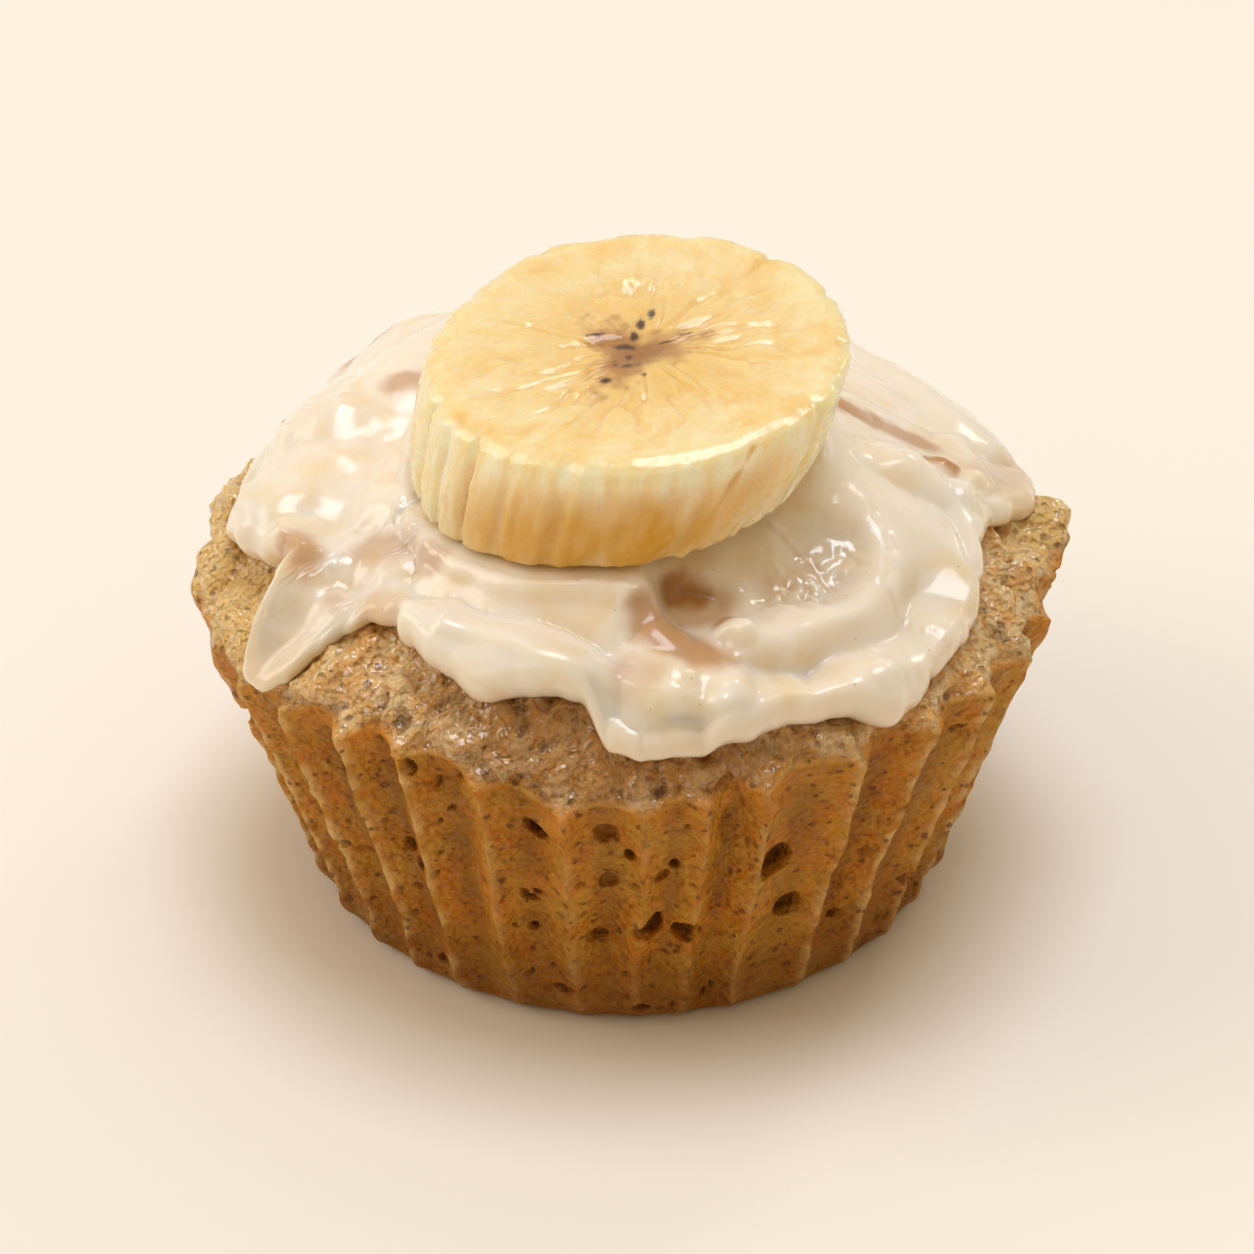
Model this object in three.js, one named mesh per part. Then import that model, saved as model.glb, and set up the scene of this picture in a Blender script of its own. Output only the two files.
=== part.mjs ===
// A small banana cupcake, baked in a fluted cup and taken out of it: a domed cake, a poured icing that runs
// over the dome in lobes, and one thick slice of peeled banana that lies on the icing.
// Millimetres and degrees. +Z is up, the cake stands on z = 0, and its axis is the Z axis. The front is -Y.
// A place on the dome is given by its azimuth, 0 at the front and 90 at +X, and its distance from the axis.
import * as THREE from "three";

// ---- Cake ----
const FLUTES = 34;
const FLUTE_DEPTH = 1.3;
const FOOT_RADIUS = 24; // flat round foot
const HEEL_RADIUS = 27.5; // where the rounded heel meets the wall
const HEEL_HEIGHT = 3.6;
const HEEL_CORNER_INSET = 1; // the heel curve's corner stands this far inside the heel's radius
const RIM_RADIUS = 35;
const RIM_HEIGHT = 27.6;
const DOME_RISE = 12.6;
const DOME_POWER = 2.5; // above 2 makes the middle flatter than a parabola
const RIM_ROUNDING = 1.2;
const FLUTE_END_RADIUS = 30.5; // on the dome the flutes have faded out at this distance from the axis
const CAKE_COLUMNS = 4 * FLUTES;
const WALL_STEPS = 4; // rows of faces on the heel, and again on the wall
// Rows of vertices on the dome: distances from the axis.
const TOP_ROWS = [34.4, 33.2, 31.8, 30.2, 28.2, 25.8, 22.8, 19.2, 14.8, 9.8, 4.8, 0];

// Lumps that rose in the oven: azimuth, distance from the axis, half width, height.
const CRUMB_LUMPS = [
  [-101, 32.6, 4.2, 1.7],
  [-82, 33.0, 3.6, 1.0],
  [-62, 32.6, 4.0, 1.2],
  [-56, 27.2, 3.6, 1.6],
  [-51, 23.0, 3.6, 0.8],
  [12, 25.2, 3.8, 1.2],
  [41, 33.0, 3.4, 0.8],
  [72, 33.0, 4.2, 1.2],
  [92, 32.8, 4.0, 2.3],
  [90, 25.5, 2.8, 1.0],
  [122, 31.6, 4.4, 1.3],
  [158, 32.4, 4.6, 1.0],
  [-155, 31.8, 4.8, 1.4],
  [-126, 32.6, 3.8, 0.9],
];

// ---- Icing ----
const ICING_COLUMNS = CAKE_COLUMNS;
const SHEET_THICKNESS = 1.7;
const LIP_WIDTH = 2.2; // the rounded edge of the sheet
const ROLL_STEPS = 8; // points computed for each listed point of a roll

// Rows of vertices on the icing: shares of the edge's distance from the axis.
const ICING_ROWS = [0, 0.16, 0.32, 0.46, 0.58, 0.68, 0.77, 0.85, 0.91, 0.955, 0.985, 1];
const PIECE_GAP = 0.45; // clear space between one piece and the next

// The icing's edge: azimuth, distance from the axis.
const ICING_EDGE = [
  [-174, 30.4],
  [-160, 32.6],
  [-146, 30.0],
  [-132, 31.6],
  [-118, 29.8],
  [-105, 31.4],
  [-92, 32.2],
  [-82, 31.8],
  [-72, 30.4],
  [-60, 31.6],
  [-50, 31.2],
  [-41, 27.9],
  [-33, 29.6],
  [-24, 30.0],
  [-17, 30.9],
  [-7, 30.7],
  [1, 32.6],
  [10, 33.0],
  [19, 33.2],
  [27, 32.8],
  [36, 33.9],
  [44, 33.0],
  [54, 32.4],
  [66, 30.0],
  [78, 29.2],
  [90, 30.6],
  [102, 31.8],
  [116, 30.2],
  [130, 32.4],
  [144, 30.6],
  [158, 31.4],
  [172, 32.2],
];

// Rolls of thicker icing, each along a line: height, half width, then [azimuth, distance] points.
const ICING_ROLLS = [
  {
    height: 1.9,
    halfWidth: 4.2,
    line: [[-118, 20], [-100, 23.5], [-86, 25.5], [-76, 27.6], [-64, 28.8]],
  },
  {
    height: 1.6,
    halfWidth: 3.6,
    line: [[-36, 25.4], [-24, 26.6], [-12, 27.6], [0, 29.2], [14, 30.4], [28, 30.8]],
  },
  {
    height: 1.5,
    halfWidth: 3.4,
    line: [[30, 30.6], [44, 29.8], [56, 28.6], [68, 26.4], [80, 24.0]],
  },
  {
    height: 1.3,
    halfWidth: 2.8,
    line: [[24, 26.0], [38, 26.4], [50, 24.4], [58, 21.4]],
  },
  {
    height: 1.7,
    halfWidth: 4.4,
    line: [[104, 22], [124, 23.6], [146, 24], [168, 23], [190, 23.8], [214, 22.6], [238, 20.6]],
  },
];

// ---- Banana slice ----
const SLICE_COLUMNS = 48;
const SLICE_BOTTOM = new THREE.Vector3(-1.7, -7.8, 41.2); // middle of the lower cut face
const SLICE_TOP = new THREE.Vector3(1.0, -8.0, 50.8); // middle of the upper cut face
const SLICE_BOTTOM_RADIUS = 14.9;
const SLICE_TOP_RADIUS = 16.4;
const SLICE_TOP_SLOPE = { x: 0.125, y: 0.08 }; // rise of the upper face per millimetre
const SLICE_BOTTOM_SLOPE = { x: 0.06, y: 0.08 };
const SLICE_SIDE_BULGE = 0.35;
// The half section: share of the radius, share of the height.
const SLICE_PROFILE = [
  [0, 0],
  [0.5, 0],
  [0.97, 0],
  [1, 0.05],
  [1, 0.35],
  [1, 0.65],
  [1, 0.95],
  [0.97, 1],
  [0.5, 1],
  [0, 1],
];
const SLICE_CORNERS = 5; // a peeled banana is a soft pentagon in section
const SLICE_CORNER_HEIGHT = 0.025; // share of the radius
const SLICE_CORNER_AZIMUTH = 24;
const PRESS_CLEARANCE = 1; // the icing stays below the lower face's level up to this far outside it
const PRESS_RISE = 1.3; // how steeply the icing may climb beyond that
const SKIRT_FALL = 0.55; // how steeply the icing falls away from under the slice

const radians = THREE.MathUtils.degToRad;
const square = (value) => value * value;

/** A point of the plan view from its azimuth and its distance from the axis. */
function planPoint(azimuth, distance) {
  const turn = radians(azimuth);
  return new THREE.Vector2(distance * Math.sin(turn), -distance * Math.cos(turn));
}

/** The azimuth of a plan point in degrees, from -180 to 180. */
function azimuthOf(x, y) {
  return THREE.MathUtils.radToDeg(Math.atan2(x, -y));
}

/** 1 in the middle of a bump and 0 from its half width outwards, with a smooth top and foot. */
function bump(distance, halfWidth) {
  const share = Math.min(1, distance / halfWidth);
  return square(1 - square(share));
}

/** Height of the crumb's upper surface over a plan point inside the rim. */
function crumbHeight(x, y) {
  const share = Math.min(1, Math.hypot(x, y) / RIM_RADIUS);
  let height = RIM_HEIGHT + DOME_RISE * (1 - Math.pow(share, DOME_POWER));
  for (const [azimuth, distance, halfWidth, rise] of CRUMB_LUMPS) {
    const middle = planPoint(azimuth, distance);
    height += rise * bump(Math.hypot(x - middle.x, y - middle.y), halfWidth);
  }
  return height;
}

/** 0 on a flute's sharp crest and 1 in the round valley between two crests. */
function fluteValley(azimuth) {
  return Math.abs(Math.sin((radians(azimuth) * FLUTES) / 2));
}

/** The closed outline of the cake's half section, from the middle of the foot to the top of the dome. */
function cakeProfile() {
  const foot = new THREE.Vector2(FOOT_RADIUS, 0);
  const heelCorner = new THREE.Vector2(HEEL_RADIUS - HEEL_CORNER_INSET, 0);
  const heelTop = new THREE.Vector2(HEEL_RADIUS, HEEL_HEIGHT);
  const heel = new THREE.QuadraticBezierCurve(foot, heelCorner, heelTop).getPoints(WALL_STEPS);
  const rimFoot = new THREE.Vector2(RIM_RADIUS, RIM_HEIGHT - RIM_ROUNDING);
  const wall = new THREE.LineCurve(heelTop, rimFoot).getPoints(WALL_STEPS).slice(1);
  const top = TOP_ROWS.map((distance) => new THREE.Vector2(distance, RIM_HEIGHT));
  return [new THREE.Vector2(0, 0), ...heel, ...wall, ...top];
}

/** Turns a lathed shape, whose axis is Y, to stand along Z with its own azimuth 0 at the front. */
function standUp(geometry) {
  geometry.rotateX(Math.PI / 2);
  geometry.rotateZ(Math.PI);
  return geometry;
}

/** Moves each vertex of a geometry to where place(x, y, z) says. */
function reshape(geometry, place) {
  const position = geometry.getAttribute("position");
  for (let i = 0; i < position.count; i++) {
    const moved = place(position.getX(i), position.getY(i), position.getZ(i));
    position.setXYZ(i, moved.x, moved.y, moved.z);
  }
  geometry.deleteAttribute("normal");
  geometry.deleteAttribute("uv");
  return geometry;
}

/** The baked cake: flutes fade in above the foot and out over the rim, and the dome carries its lumps. */
function cakeGeometry() {
  const lathed = standUp(new THREE.LatheGeometry(cakeProfile(), CAKE_COLUMNS));
  return reshape(lathed, (x, y, z) => {
    const distance = Math.hypot(x, y);
    const onTop = z > RIM_HEIGHT - 0.01;
    const fadeIn = THREE.MathUtils.smoothstep(distance, FOOT_RADIUS, HEEL_RADIUS);
    const fadeOut = onTop ? THREE.MathUtils.smoothstep(distance, FLUTE_END_RADIUS, RIM_RADIUS) : 1;
    const cut = FLUTE_DEPTH * fadeIn * fadeOut * fluteValley(azimuthOf(x, y));
    const scale = distance > 0 ? (distance - cut) / distance : 1;
    const height = onTop ? crumbHeight(x * scale, y * scale) : z;
    return new THREE.Vector3(x * scale, y * scale, height);
  });
}

/** Distance of the icing's edge from the axis at an azimuth, eased from one listed point to the next. */
function edgeDistance(azimuth) {
  const points = ICING_EDGE;
  let next = points.findIndex(([listed]) => listed > azimuth);
  if (next === -1) next = 0;
  const before = points[(next + points.length - 1) % points.length];
  const after = points[next];
  const span = (after[0] - before[0] + 360) % 360;
  const along = ((azimuth - before[0] + 360) % 360) / span;
  return THREE.MathUtils.lerp(before[1], after[1], THREE.MathUtils.smoothstep(along, 0, 1));
}

const rollLines = ICING_ROLLS.map(({ line }) => {
  const points = line.map(([azimuth, distance]) => planPoint(azimuth, distance));
  return new THREE.SplineCurve(points).getPoints(ROLL_STEPS * line.length);
});

/** Thickness of the sheet of icing over a plan point, before its edge is rounded off. */
function sheetThickness(x, y) {
  let thickness = SHEET_THICKNESS;
  ICING_ROLLS.forEach(({ height, halfWidth }, index) => {
    const distance = Math.min(...rollLines[index].map((point) => Math.hypot(x - point.x, y - point.y)));
    thickness += height * bump(distance, halfWidth);
  });
  return thickness;
}

/** Share of its full thickness that the icing has this far inside its edge: a quarter round. */
function lipShare(inside) {
  const share = THREE.MathUtils.clamp(inside / LIP_WIDTH, 0, 1);
  return Math.sqrt(1 - square(1 - share));
}

/** Height of the lower cut face's plane over a plan point. */
function sliceSeat(x, y) {
  return (
    SLICE_BOTTOM.z + SLICE_BOTTOM_SLOPE.x * (x - SLICE_BOTTOM.x) + SLICE_BOTTOM_SLOPE.y * (y - SLICE_BOTTOM.y)
  );
}

/** Height of the icing over a plan point: it fills up to the slice, and stays clear of it. */
function icingTop(x, y, underside, edge) {
  const outside = Math.hypot(x - SLICE_BOTTOM.x, y - SLICE_BOTTOM.y) - SLICE_BOTTOM_RADIUS;
  const seat = sliceSeat(x, y) - PIECE_GAP;
  const skirt = seat - SKIRT_FALL * Math.max(0, outside);
  const ceiling = seat + PRESS_RISE * Math.max(0, outside - PRESS_CLEARANCE);
  const thickness = Math.max(sheetThickness(x, y), skirt - underside) * lipShare(edge - Math.hypot(x, y));
  return Math.min(underside + thickness, ceiling);
}

/** The icing: a lathed disc of unit radius, spread out to the lobed edge and laid on the dome. */
function icingGeometry() {
  const under = ICING_ROWS.map((share) => new THREE.Vector2(share, 0));
  const over = ICING_ROWS.slice(0, -1).reverse().map((share) => new THREE.Vector2(share, 1));
  const lathed = standUp(new THREE.LatheGeometry([...under, ...over], ICING_COLUMNS));
  return reshape(lathed, (shareX, shareY, layer) => {
    const edge = edgeDistance(azimuthOf(shareX, shareY));
    const x = shareX * edge;
    const y = shareY * edge;
    const underside = crumbHeight(x, y) + PIECE_GAP;
    const top = icingTop(x, y, underside, edge);
    return new THREE.Vector3(x, y, layer > 0.5 ? top : underside);
  });
}

/** The banana slice: a short leaning lathe, a soft pentagon in section, cut off slanting above and below. */
function sliceGeometry() {
  const profile = SLICE_PROFILE.map(([share, level]) => new THREE.Vector2(share, level));
  const lathed = standUp(new THREE.LatheGeometry(profile, SLICE_COLUMNS));
  return reshape(lathed, (shareX, shareY, level) => {
    const turn = radians(azimuthOf(shareX, shareY) - SLICE_CORNER_AZIMUTH);
    const corner = 1 + SLICE_CORNER_HEIGHT * Math.cos(SLICE_CORNERS * turn);
    const bulge = SLICE_SIDE_BULGE * Math.sin(Math.PI * level);
    const radius = (THREE.MathUtils.lerp(SLICE_BOTTOM_RADIUS, SLICE_TOP_RADIUS, level) + bulge) * corner;
    const middle = new THREE.Vector3().lerpVectors(SLICE_BOTTOM, SLICE_TOP, level);
    const slopeX = THREE.MathUtils.lerp(SLICE_BOTTOM_SLOPE.x, SLICE_TOP_SLOPE.x, level);
    const slopeY = THREE.MathUtils.lerp(SLICE_BOTTOM_SLOPE.y, SLICE_TOP_SLOPE.y, level);
    const x = shareX * radius;
    const y = shareY * radius;
    return new THREE.Vector3(middle.x + x, middle.y + y, middle.z + slopeX * x + slopeY * y);
  });
}

/** One named piece with its own colour. */
function piece(name, geometry, color, roughness) {
  const material = new THREE.MeshStandardMaterial({ color, roughness, metalness: 0 });
  const mesh = new THREE.Mesh(geometry, material);
  mesh.name = name;
  return mesh;
}

const cupcake = new THREE.Group();
cupcake.add(
  piece("cake", cakeGeometry(), 0xa86f35, 0.75),
  piece("icing", icingGeometry(), 0xe6cfae, 0.25),
  piece("banana_slice", sliceGeometry(), 0xf3d491, 0.4),
);

export default cupcake;
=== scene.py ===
"""A small banana cupcake: a fluted cake, poured icing and one thick slice of banana.

Shapes are worked out in millimetres in the part's own frame, with +Z up and the front at -Y. A place on the
cake is given by its azimuth, 0 at the front and 90 at +X, and by its distance from the cake's axis. Piece
turns millimetres into Blender's metres.
"""

import logging
import math
import random
from collections.abc import Sequence
from dataclasses import dataclass, field
from enum import Enum

import bpy
import numpy as np
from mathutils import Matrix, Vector, noise
from mathutils.bvhtree import BVHTree


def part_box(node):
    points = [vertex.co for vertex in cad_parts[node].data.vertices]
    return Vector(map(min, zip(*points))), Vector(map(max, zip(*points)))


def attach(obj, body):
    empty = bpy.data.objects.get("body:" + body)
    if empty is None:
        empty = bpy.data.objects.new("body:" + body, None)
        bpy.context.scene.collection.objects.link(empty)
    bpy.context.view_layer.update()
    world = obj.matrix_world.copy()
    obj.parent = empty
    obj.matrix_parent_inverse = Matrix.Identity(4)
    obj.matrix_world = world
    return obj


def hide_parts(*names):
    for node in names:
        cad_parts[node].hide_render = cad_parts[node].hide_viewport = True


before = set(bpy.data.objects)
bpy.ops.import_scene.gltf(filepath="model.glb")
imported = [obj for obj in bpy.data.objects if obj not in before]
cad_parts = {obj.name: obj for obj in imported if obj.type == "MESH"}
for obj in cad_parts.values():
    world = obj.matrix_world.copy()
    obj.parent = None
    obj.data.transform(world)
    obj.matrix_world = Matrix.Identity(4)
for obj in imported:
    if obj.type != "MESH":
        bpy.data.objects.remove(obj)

MILLIMETRE = 0.001
MERGE_WITHIN = 0.004  # millimetres between vertices that the lathe makes one
WALL_SLACK = 0.05  # millimetres under the rim from which a vertex counts as the top's
CREST_SLACK = 1e-4  # share of a flute by which a vertex on a crest may be off it
PLAIN_SIZE = 10.0  # millimetres: radius and height of a lathed body before it gets its real shape
LOG = logging.getLogger("cupcake")

# Settings of nodes.
SMOOTH_RISE = {"interpolation_type": "SMOOTHSTEP"}
COLOURS = {"data_type": "RGBA"}
VECTORS = {"data_type": "VECTOR"}
MULTIPLY = {"operation": "MULTIPLY"}
MULTIPLY_ADD = {"operation": "MULTIPLY_ADD"}
SUBTRACT = {"operation": "SUBTRACT"}
CELLS = {"feature": "F1"}
ROUND_CELLS = {"feature": "SMOOTH_F1"}
CELL_WALLS = {"feature": "DISTANCE_TO_EDGE"}


class Layer(Enum):
    """The attributes that carry what the shape knows over to the materials."""

    # The top's share, its golden lobes, partly painted light, and painted shade on its front.
    TOP = "crumb_top"
    # Toasting, a painted highlight on the crests and the rim, and painted shade towards the foot and in the
    # flutes' valleys.
    EDGE = "toasted_edge"
    # Painted shade in the pores and holes.
    PORE = "pore"
    FILM = "icing_depth"
    ACROSS = "slice_across"
    INNER = "honey_zone"
    CORE = "slice_core"
    SEED = "slice_seed"
    SIDE = "slice_side"


class Swell(Enum):
    """The sets of random swells, one for each thing that they shape; the numbers keep each set as it is."""

    FLUTE_SWAY = 11
    CREST_SWAY = 12
    FLUTE_WEAR = 13
    RIM_WAVE = 14
    CREST_BREAKS = 15
    TOASTING = 16
    CRUMB = 21
    CRUMB_SMALL = 22
    WALL = 23
    WALL_SMALL = 24
    GRIT = 25
    PORE_RIMS = 31
    SLICE_SIDE = 41
    SLICE_HEM = 42
    SLICE_SIDE_SMALL = 43
    FACE = 44
    FACE_SMALL = 45
    FURROWS = 46
    CORE_RIM = 47
    CRACK = 48
    FACET_RIMS = 49
    RIPENESS = 50
    ICING = 51
    ICING_SMALL = 52
    WANDER_ACROSS = 53
    WANDER_ALONG = 54
    ICING_SHORE = 55
    PATCH_ACROSS = 56
    PATCH_ALONG = 57
    CREASES = 58
    HONEY = 59


# ------------------------------------------------------------------------------------------------------------
# Small tools
# ------------------------------------------------------------------------------------------------------------


def smooth(value: np.ndarray | float, low: float, high: float) -> np.ndarray:
    """Rise smoothly from 0 at low to 1 at high.

    Args:
        value: the value or values to judge.
        low: where the rise starts.
        high: where the rise ends; below low, the rise becomes a fall.

    Returns:
        The shares, from 0 to 1.
    """
    share = np.clip((value - low) / (high - low), 0.0, 1.0)
    return share * share * (3.0 - 2.0 * share)


def bump(distance: np.ndarray, width: float, power: float = 2.0) -> np.ndarray:
    """Fall from 1 in the middle of a mound to 0 at its half width.

    Args:
        distance: how far each point is from the middle.
        width: the mound's half width.
        power: 1 gives a full round back with a sharp foot, 2 a softer mound with a smooth foot.

    Returns:
        The share of the mound's height at each point.
    """
    return (1.0 - np.clip(distance / width, 0.0, 1.0) ** 2) ** power


def unevenness(places: np.ndarray, grain: float, swell: Swell, octaves: int = 1) -> np.ndarray:
    """Smooth random swells, the same ones on each run.

    Args:
        places: points in millimetres, one a row.
        grain: the size of a swell in millimetres.
        swell: which set of swells to take.
        octaves: how many sets are laid over one another, each half as large as the one before.

    Returns:
        A value for each point, about -1 to 1.
    """
    shift = Vector((17.3 * swell.value, -9.1 * swell.value, 4.7 * swell.value))
    smoothness, lacunarity = 0.9, 2.0
    points = (Vector(place) / grain + shift for place in places.tolist())
    return np.array([noise.fractal(point, smoothness, lacunarity, octaves) for point in points])


def plan(azimuth: float | np.ndarray, distance: float | np.ndarray) -> np.ndarray:
    """Turn an azimuth in degrees and a distance from the axis into plan coordinates."""
    turn = np.radians(azimuth)
    return np.stack([distance * np.sin(turn), -distance * np.cos(turn)], axis=-1)


def azimuths(across: np.ndarray, along: np.ndarray) -> np.ndarray:
    """Azimuth in degrees, -180 to 180, of plan coordinates."""
    return np.degrees(np.arctan2(across, -along))


def from_mark(azimuth: np.ndarray, mark: float | np.ndarray) -> np.ndarray:
    """Angle from a mark to an azimuth in degrees, -180 to 180."""
    return (azimuth - mark + 180.0) % 360.0 - 180.0


def round_trip(azimuth: np.ndarray, points: Sequence[tuple[float, float]]) -> np.ndarray:
    """Read a value off a closed list of azimuths and values, eased from one to the next.

    Args:
        azimuth: where to read, in degrees.
        points: azimuth and value of each listed point, in rising order of azimuth.

    Returns:
        The value at each azimuth.
    """
    marks = np.array([points[-1][0] - 360.0, *(mark for mark, _ in points), points[0][0] + 360.0])
    values = np.array([points[-1][1], *(value for _, value in points), points[0][1]])
    after = np.clip(np.searchsorted(marks, azimuth, side="right"), 1, len(marks) - 1)
    share = (azimuth - marks[after - 1]) / (marks[after] - marks[after - 1])
    return values[after - 1] + (values[after] - values[after - 1]) * smooth(share, 0.0, 1.0)


def distance_to_line(places: np.ndarray, line: np.ndarray) -> np.ndarray:
    """Shortest plan distance from each point to a line of straight stretches.

    Args:
        places: plan coordinates of the points, one a row.
        line: plan coordinates of the line's corners, one a row.

    Returns:
        The distance of each point in millimetres.
    """
    nearest = np.full(len(places), np.inf)
    for start, end in zip(line[:-1], line[1:]):
        run = end - start
        share = np.clip((places - start) @ run / (run @ run), 0.0, 1.0)
        nearest = np.minimum(nearest, np.linalg.norm(places - start - share[:, None] * run, axis=1))
    return nearest


def eased_line(points: Sequence[tuple[float, float]], steps: int = 6) -> np.ndarray:
    """Draw a smooth line through plan points, as a run of short straight stretches.

    Args:
        points: plan coordinates that the line passes through.
        steps: how many stretches to draw between two points.

    Returns:
        Plan coordinates along the line, one a row.
    """
    knots = np.array([points[0], *points, points[-1]], dtype=float)
    drawn = []
    for before, start, end, after in zip(knots[:-3], knots[1:-2], knots[2:-1], knots[3:]):
        for share in np.linspace(0.0, 1.0, steps, endpoint=False):
            bend = 2 * start + (end - before) * share + (2 * before - 5 * start + 4 * end - after) * share**2
            drawn.append(0.5 * (bend + (3 * start - before - 3 * end + after) * share**3))
    return np.array([*drawn, knots[-1]])


def deselect_all() -> None:
    """Leave nothing selected, so that the next operator touches only what it is given."""
    if bpy.context.object and bpy.context.object.mode != "OBJECT":
        bpy.ops.object.mode_set(mode="OBJECT")
    bpy.ops.object.select_all(action="DESELECT")


class Piece:
    """A mesh object whose vertices are read and moved in millimetres."""

    def __init__(self, shape: bpy.types.Object) -> None:
        """Wrap a Blender mesh object."""
        self.shape = shape

    @classmethod
    def spun(cls, name: str, section: Sequence[tuple[float, float]], steps: int) -> "Piece":
        """Spin a half section round the Z axis into a closed body.

        Args:
            name: the piece's name.
            section: distance from the axis and height of each point, from the foot's middle up to the top's.
            steps: how many columns the body gets.

        Returns:
            The closed piece, its faces pointing outwards.
        """
        deselect_all()
        bpy.ops.mesh.primitive_circle_add(vertices=3, radius=MILLIMETRE, enter_editmode=True)
        shape = bpy.context.object
        shape.name = shape.data.name = name
        bpy.ops.mesh.select_mode(type="VERT")
        bpy.ops.mesh.merge(type="CENTER")
        last = (0.0, 0.0)
        for index, point in enumerate(section):
            step = ((point[0] - last[0]) * MILLIMETRE, 0.0, (point[1] - last[1]) * MILLIMETRE)
            if index == 0:
                bpy.ops.transform.translate(value=step)
            else:
                bpy.ops.mesh.extrude_region_move(TRANSFORM_OT_translate={"value": step})
            last = point
        bpy.ops.object.mode_set(mode="OBJECT")
        lathe = shape.modifiers.new("lathe", "SCREW")
        lathe.steps = steps
        lathe.use_merge_vertices = True
        lathe.merge_threshold = MERGE_WITHIN * MILLIMETRE
        bpy.ops.object.modifier_apply(modifier=lathe.name)
        bpy.ops.object.mode_set(mode="EDIT")
        bpy.ops.mesh.select_all(action="SELECT")
        bpy.ops.mesh.normals_make_consistent(inside=False)
        bpy.ops.object.mode_set(mode="OBJECT")
        return cls(shape)

    def places(self) -> np.ndarray:
        """Vertex places in millimetres, one a row."""
        flat = np.empty(3 * len(self.shape.data.vertices), dtype=np.float32)
        self.shape.data.vertices.foreach_get("co", flat)
        return flat.reshape(-1, 3).astype(float) / MILLIMETRE

    def put(self, places: np.ndarray) -> None:
        """Move every vertex to its given place in millimetres."""
        self.shape.data.vertices.foreach_set("co", (places * MILLIMETRE).astype(np.float32).ravel())
        self.shape.data.update()

    def outward(self) -> np.ndarray:
        """Unit vectors that point out of the piece at each vertex."""
        flat = np.empty(3 * len(self.shape.data.vertices), dtype=np.float32)
        self.shape.data.vertices.foreach_get("normal", flat)
        return flat.reshape(-1, 3).astype(float)

    def swell(self, heights: np.ndarray) -> None:
        """Move each vertex out of the surface by its height in millimetres."""
        self.put(self.places() + self.outward() * heights[:, None])

    def face_middles(self) -> np.ndarray:
        """Middle of each face in millimetres, one a row."""
        flat = np.empty(3 * len(self.shape.data.polygons), dtype=np.float32)
        self.shape.data.polygons.foreach_get("center", flat)
        return flat.reshape(-1, 3).astype(float) / MILLIMETRE

    def refine(self, chosen: np.ndarray, cuts: int) -> None:
        """Subdivide some faces, to hold finer shapes there.

        Args:
            chosen: true for each face to divide.
            cuts: how many cuts across each face.
        """
        deselect_all()
        self.shape.select_set(True)
        bpy.context.view_layer.objects.active = self.shape
        mesh = self.shape.data
        mesh.vertices.foreach_set("select", np.zeros(len(mesh.vertices), dtype=bool))
        mesh.edges.foreach_set("select", np.zeros(len(mesh.edges), dtype=bool))
        mesh.polygons.foreach_set("select", chosen)
        bpy.context.tool_settings.mesh_select_mode = (False, False, True)
        bpy.ops.object.mode_set(mode="EDIT")
        bpy.ops.mesh.subdivide(number_cuts=cuts)
        bpy.ops.object.mode_set(mode="OBJECT")

    def paint(self, layer: Layer, values: np.ndarray) -> None:
        """Store one number or one vector for each vertex, for the materials to read."""
        kind, channel = ("FLOAT_VECTOR", "vector") if values.ndim > 1 else ("FLOAT", "value")
        stored = self.shape.data.attributes.new(layer.value, kind, "POINT")
        stored.data.foreach_set(channel, values.astype(np.float32).ravel())

    def finish(self, node: str, slot: str, material: bpy.types.Material) -> None:
        """Dress the piece, and let it stand for its CAD node on the part's only body.

        Args:
            node: the CAD node that the piece stands for.
            slot: the name of a material slot; it is not used.
            material: the piece's finish.
        """
        mesh = self.shape.data
        mesh.polygons.foreach_set("use_smooth", np.ones(len(mesh.polygons), dtype=bool))
        mesh.materials.clear()
        mesh.materials.append(material)
        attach(self.shape, "root")
        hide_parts(node)
        LOG.info("%s: %d faces for %s", self.shape.name, len(mesh.polygons), node)


# ------------------------------------------------------------------------------------------------------------
# Materials
# ------------------------------------------------------------------------------------------------------------


def linear(colour: str) -> tuple[float, float, float, float]:
    """Turn an sRGB colour such as "#f3e4cf" into Blender's linear values."""
    shares = [int(colour[start : start + 2], 16) / 255.0 for start in (1, 3, 5)]
    light = (share / 12.92 if share <= 0.04045 else ((share + 0.055) / 1.055) ** 2.4 for share in shares)
    return (*light, 1.0)


def add_node(
    tree: bpy.types.NodeTree, kind: str, settings: dict[str, str] | None = None, **inputs: object
) -> bpy.types.Node:
    """Add a node with its settings, and fill its inputs.

    Args:
        tree: the node tree to add to.
        kind: the node's type, such as "ShaderNodeTexNoise".
        settings: properties of the node by name.
        **inputs: input names in lower case with _ for a space, or i and a number for the input at that place.
            A socket is linked, and anything else is set as the input's value.

    Returns:
        The new node.
    """
    node = tree.nodes.new(kind)
    for name, value in (settings or {}).items():
        setattr(node, name, value)
    by_name = {socket.name.lower().replace(" ", "_"): socket for socket in reversed(node.inputs)}
    for name, value in inputs.items():
        socket = node.inputs[int(name[1:])] if name[0] == "i" and name[1:].isdigit() else by_name[name]
        if isinstance(value, bpy.types.NodeSocket):
            tree.links.new(value, socket)
        else:
            socket.default_value = value
    return node


def per_metre(millimetres: float) -> float:
    """The texture scale at which one swell or cell is this many millimetres wide."""
    return 1.0 / (millimetres * MILLIMETRE)


@dataclass(frozen=True)
class Coat:
    """A colour laid over another, as far as a pattern says.

    With low and high, its share rises smoothly from nothing, where the pattern is low, to most, where it is
    high. Without them, the pattern is the share.
    """

    pattern: bpy.types.NodeSocket
    colour: str | bpy.types.NodeSocket
    low: float | None = None
    high: float | None = None
    most: float = 1.0


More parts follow.
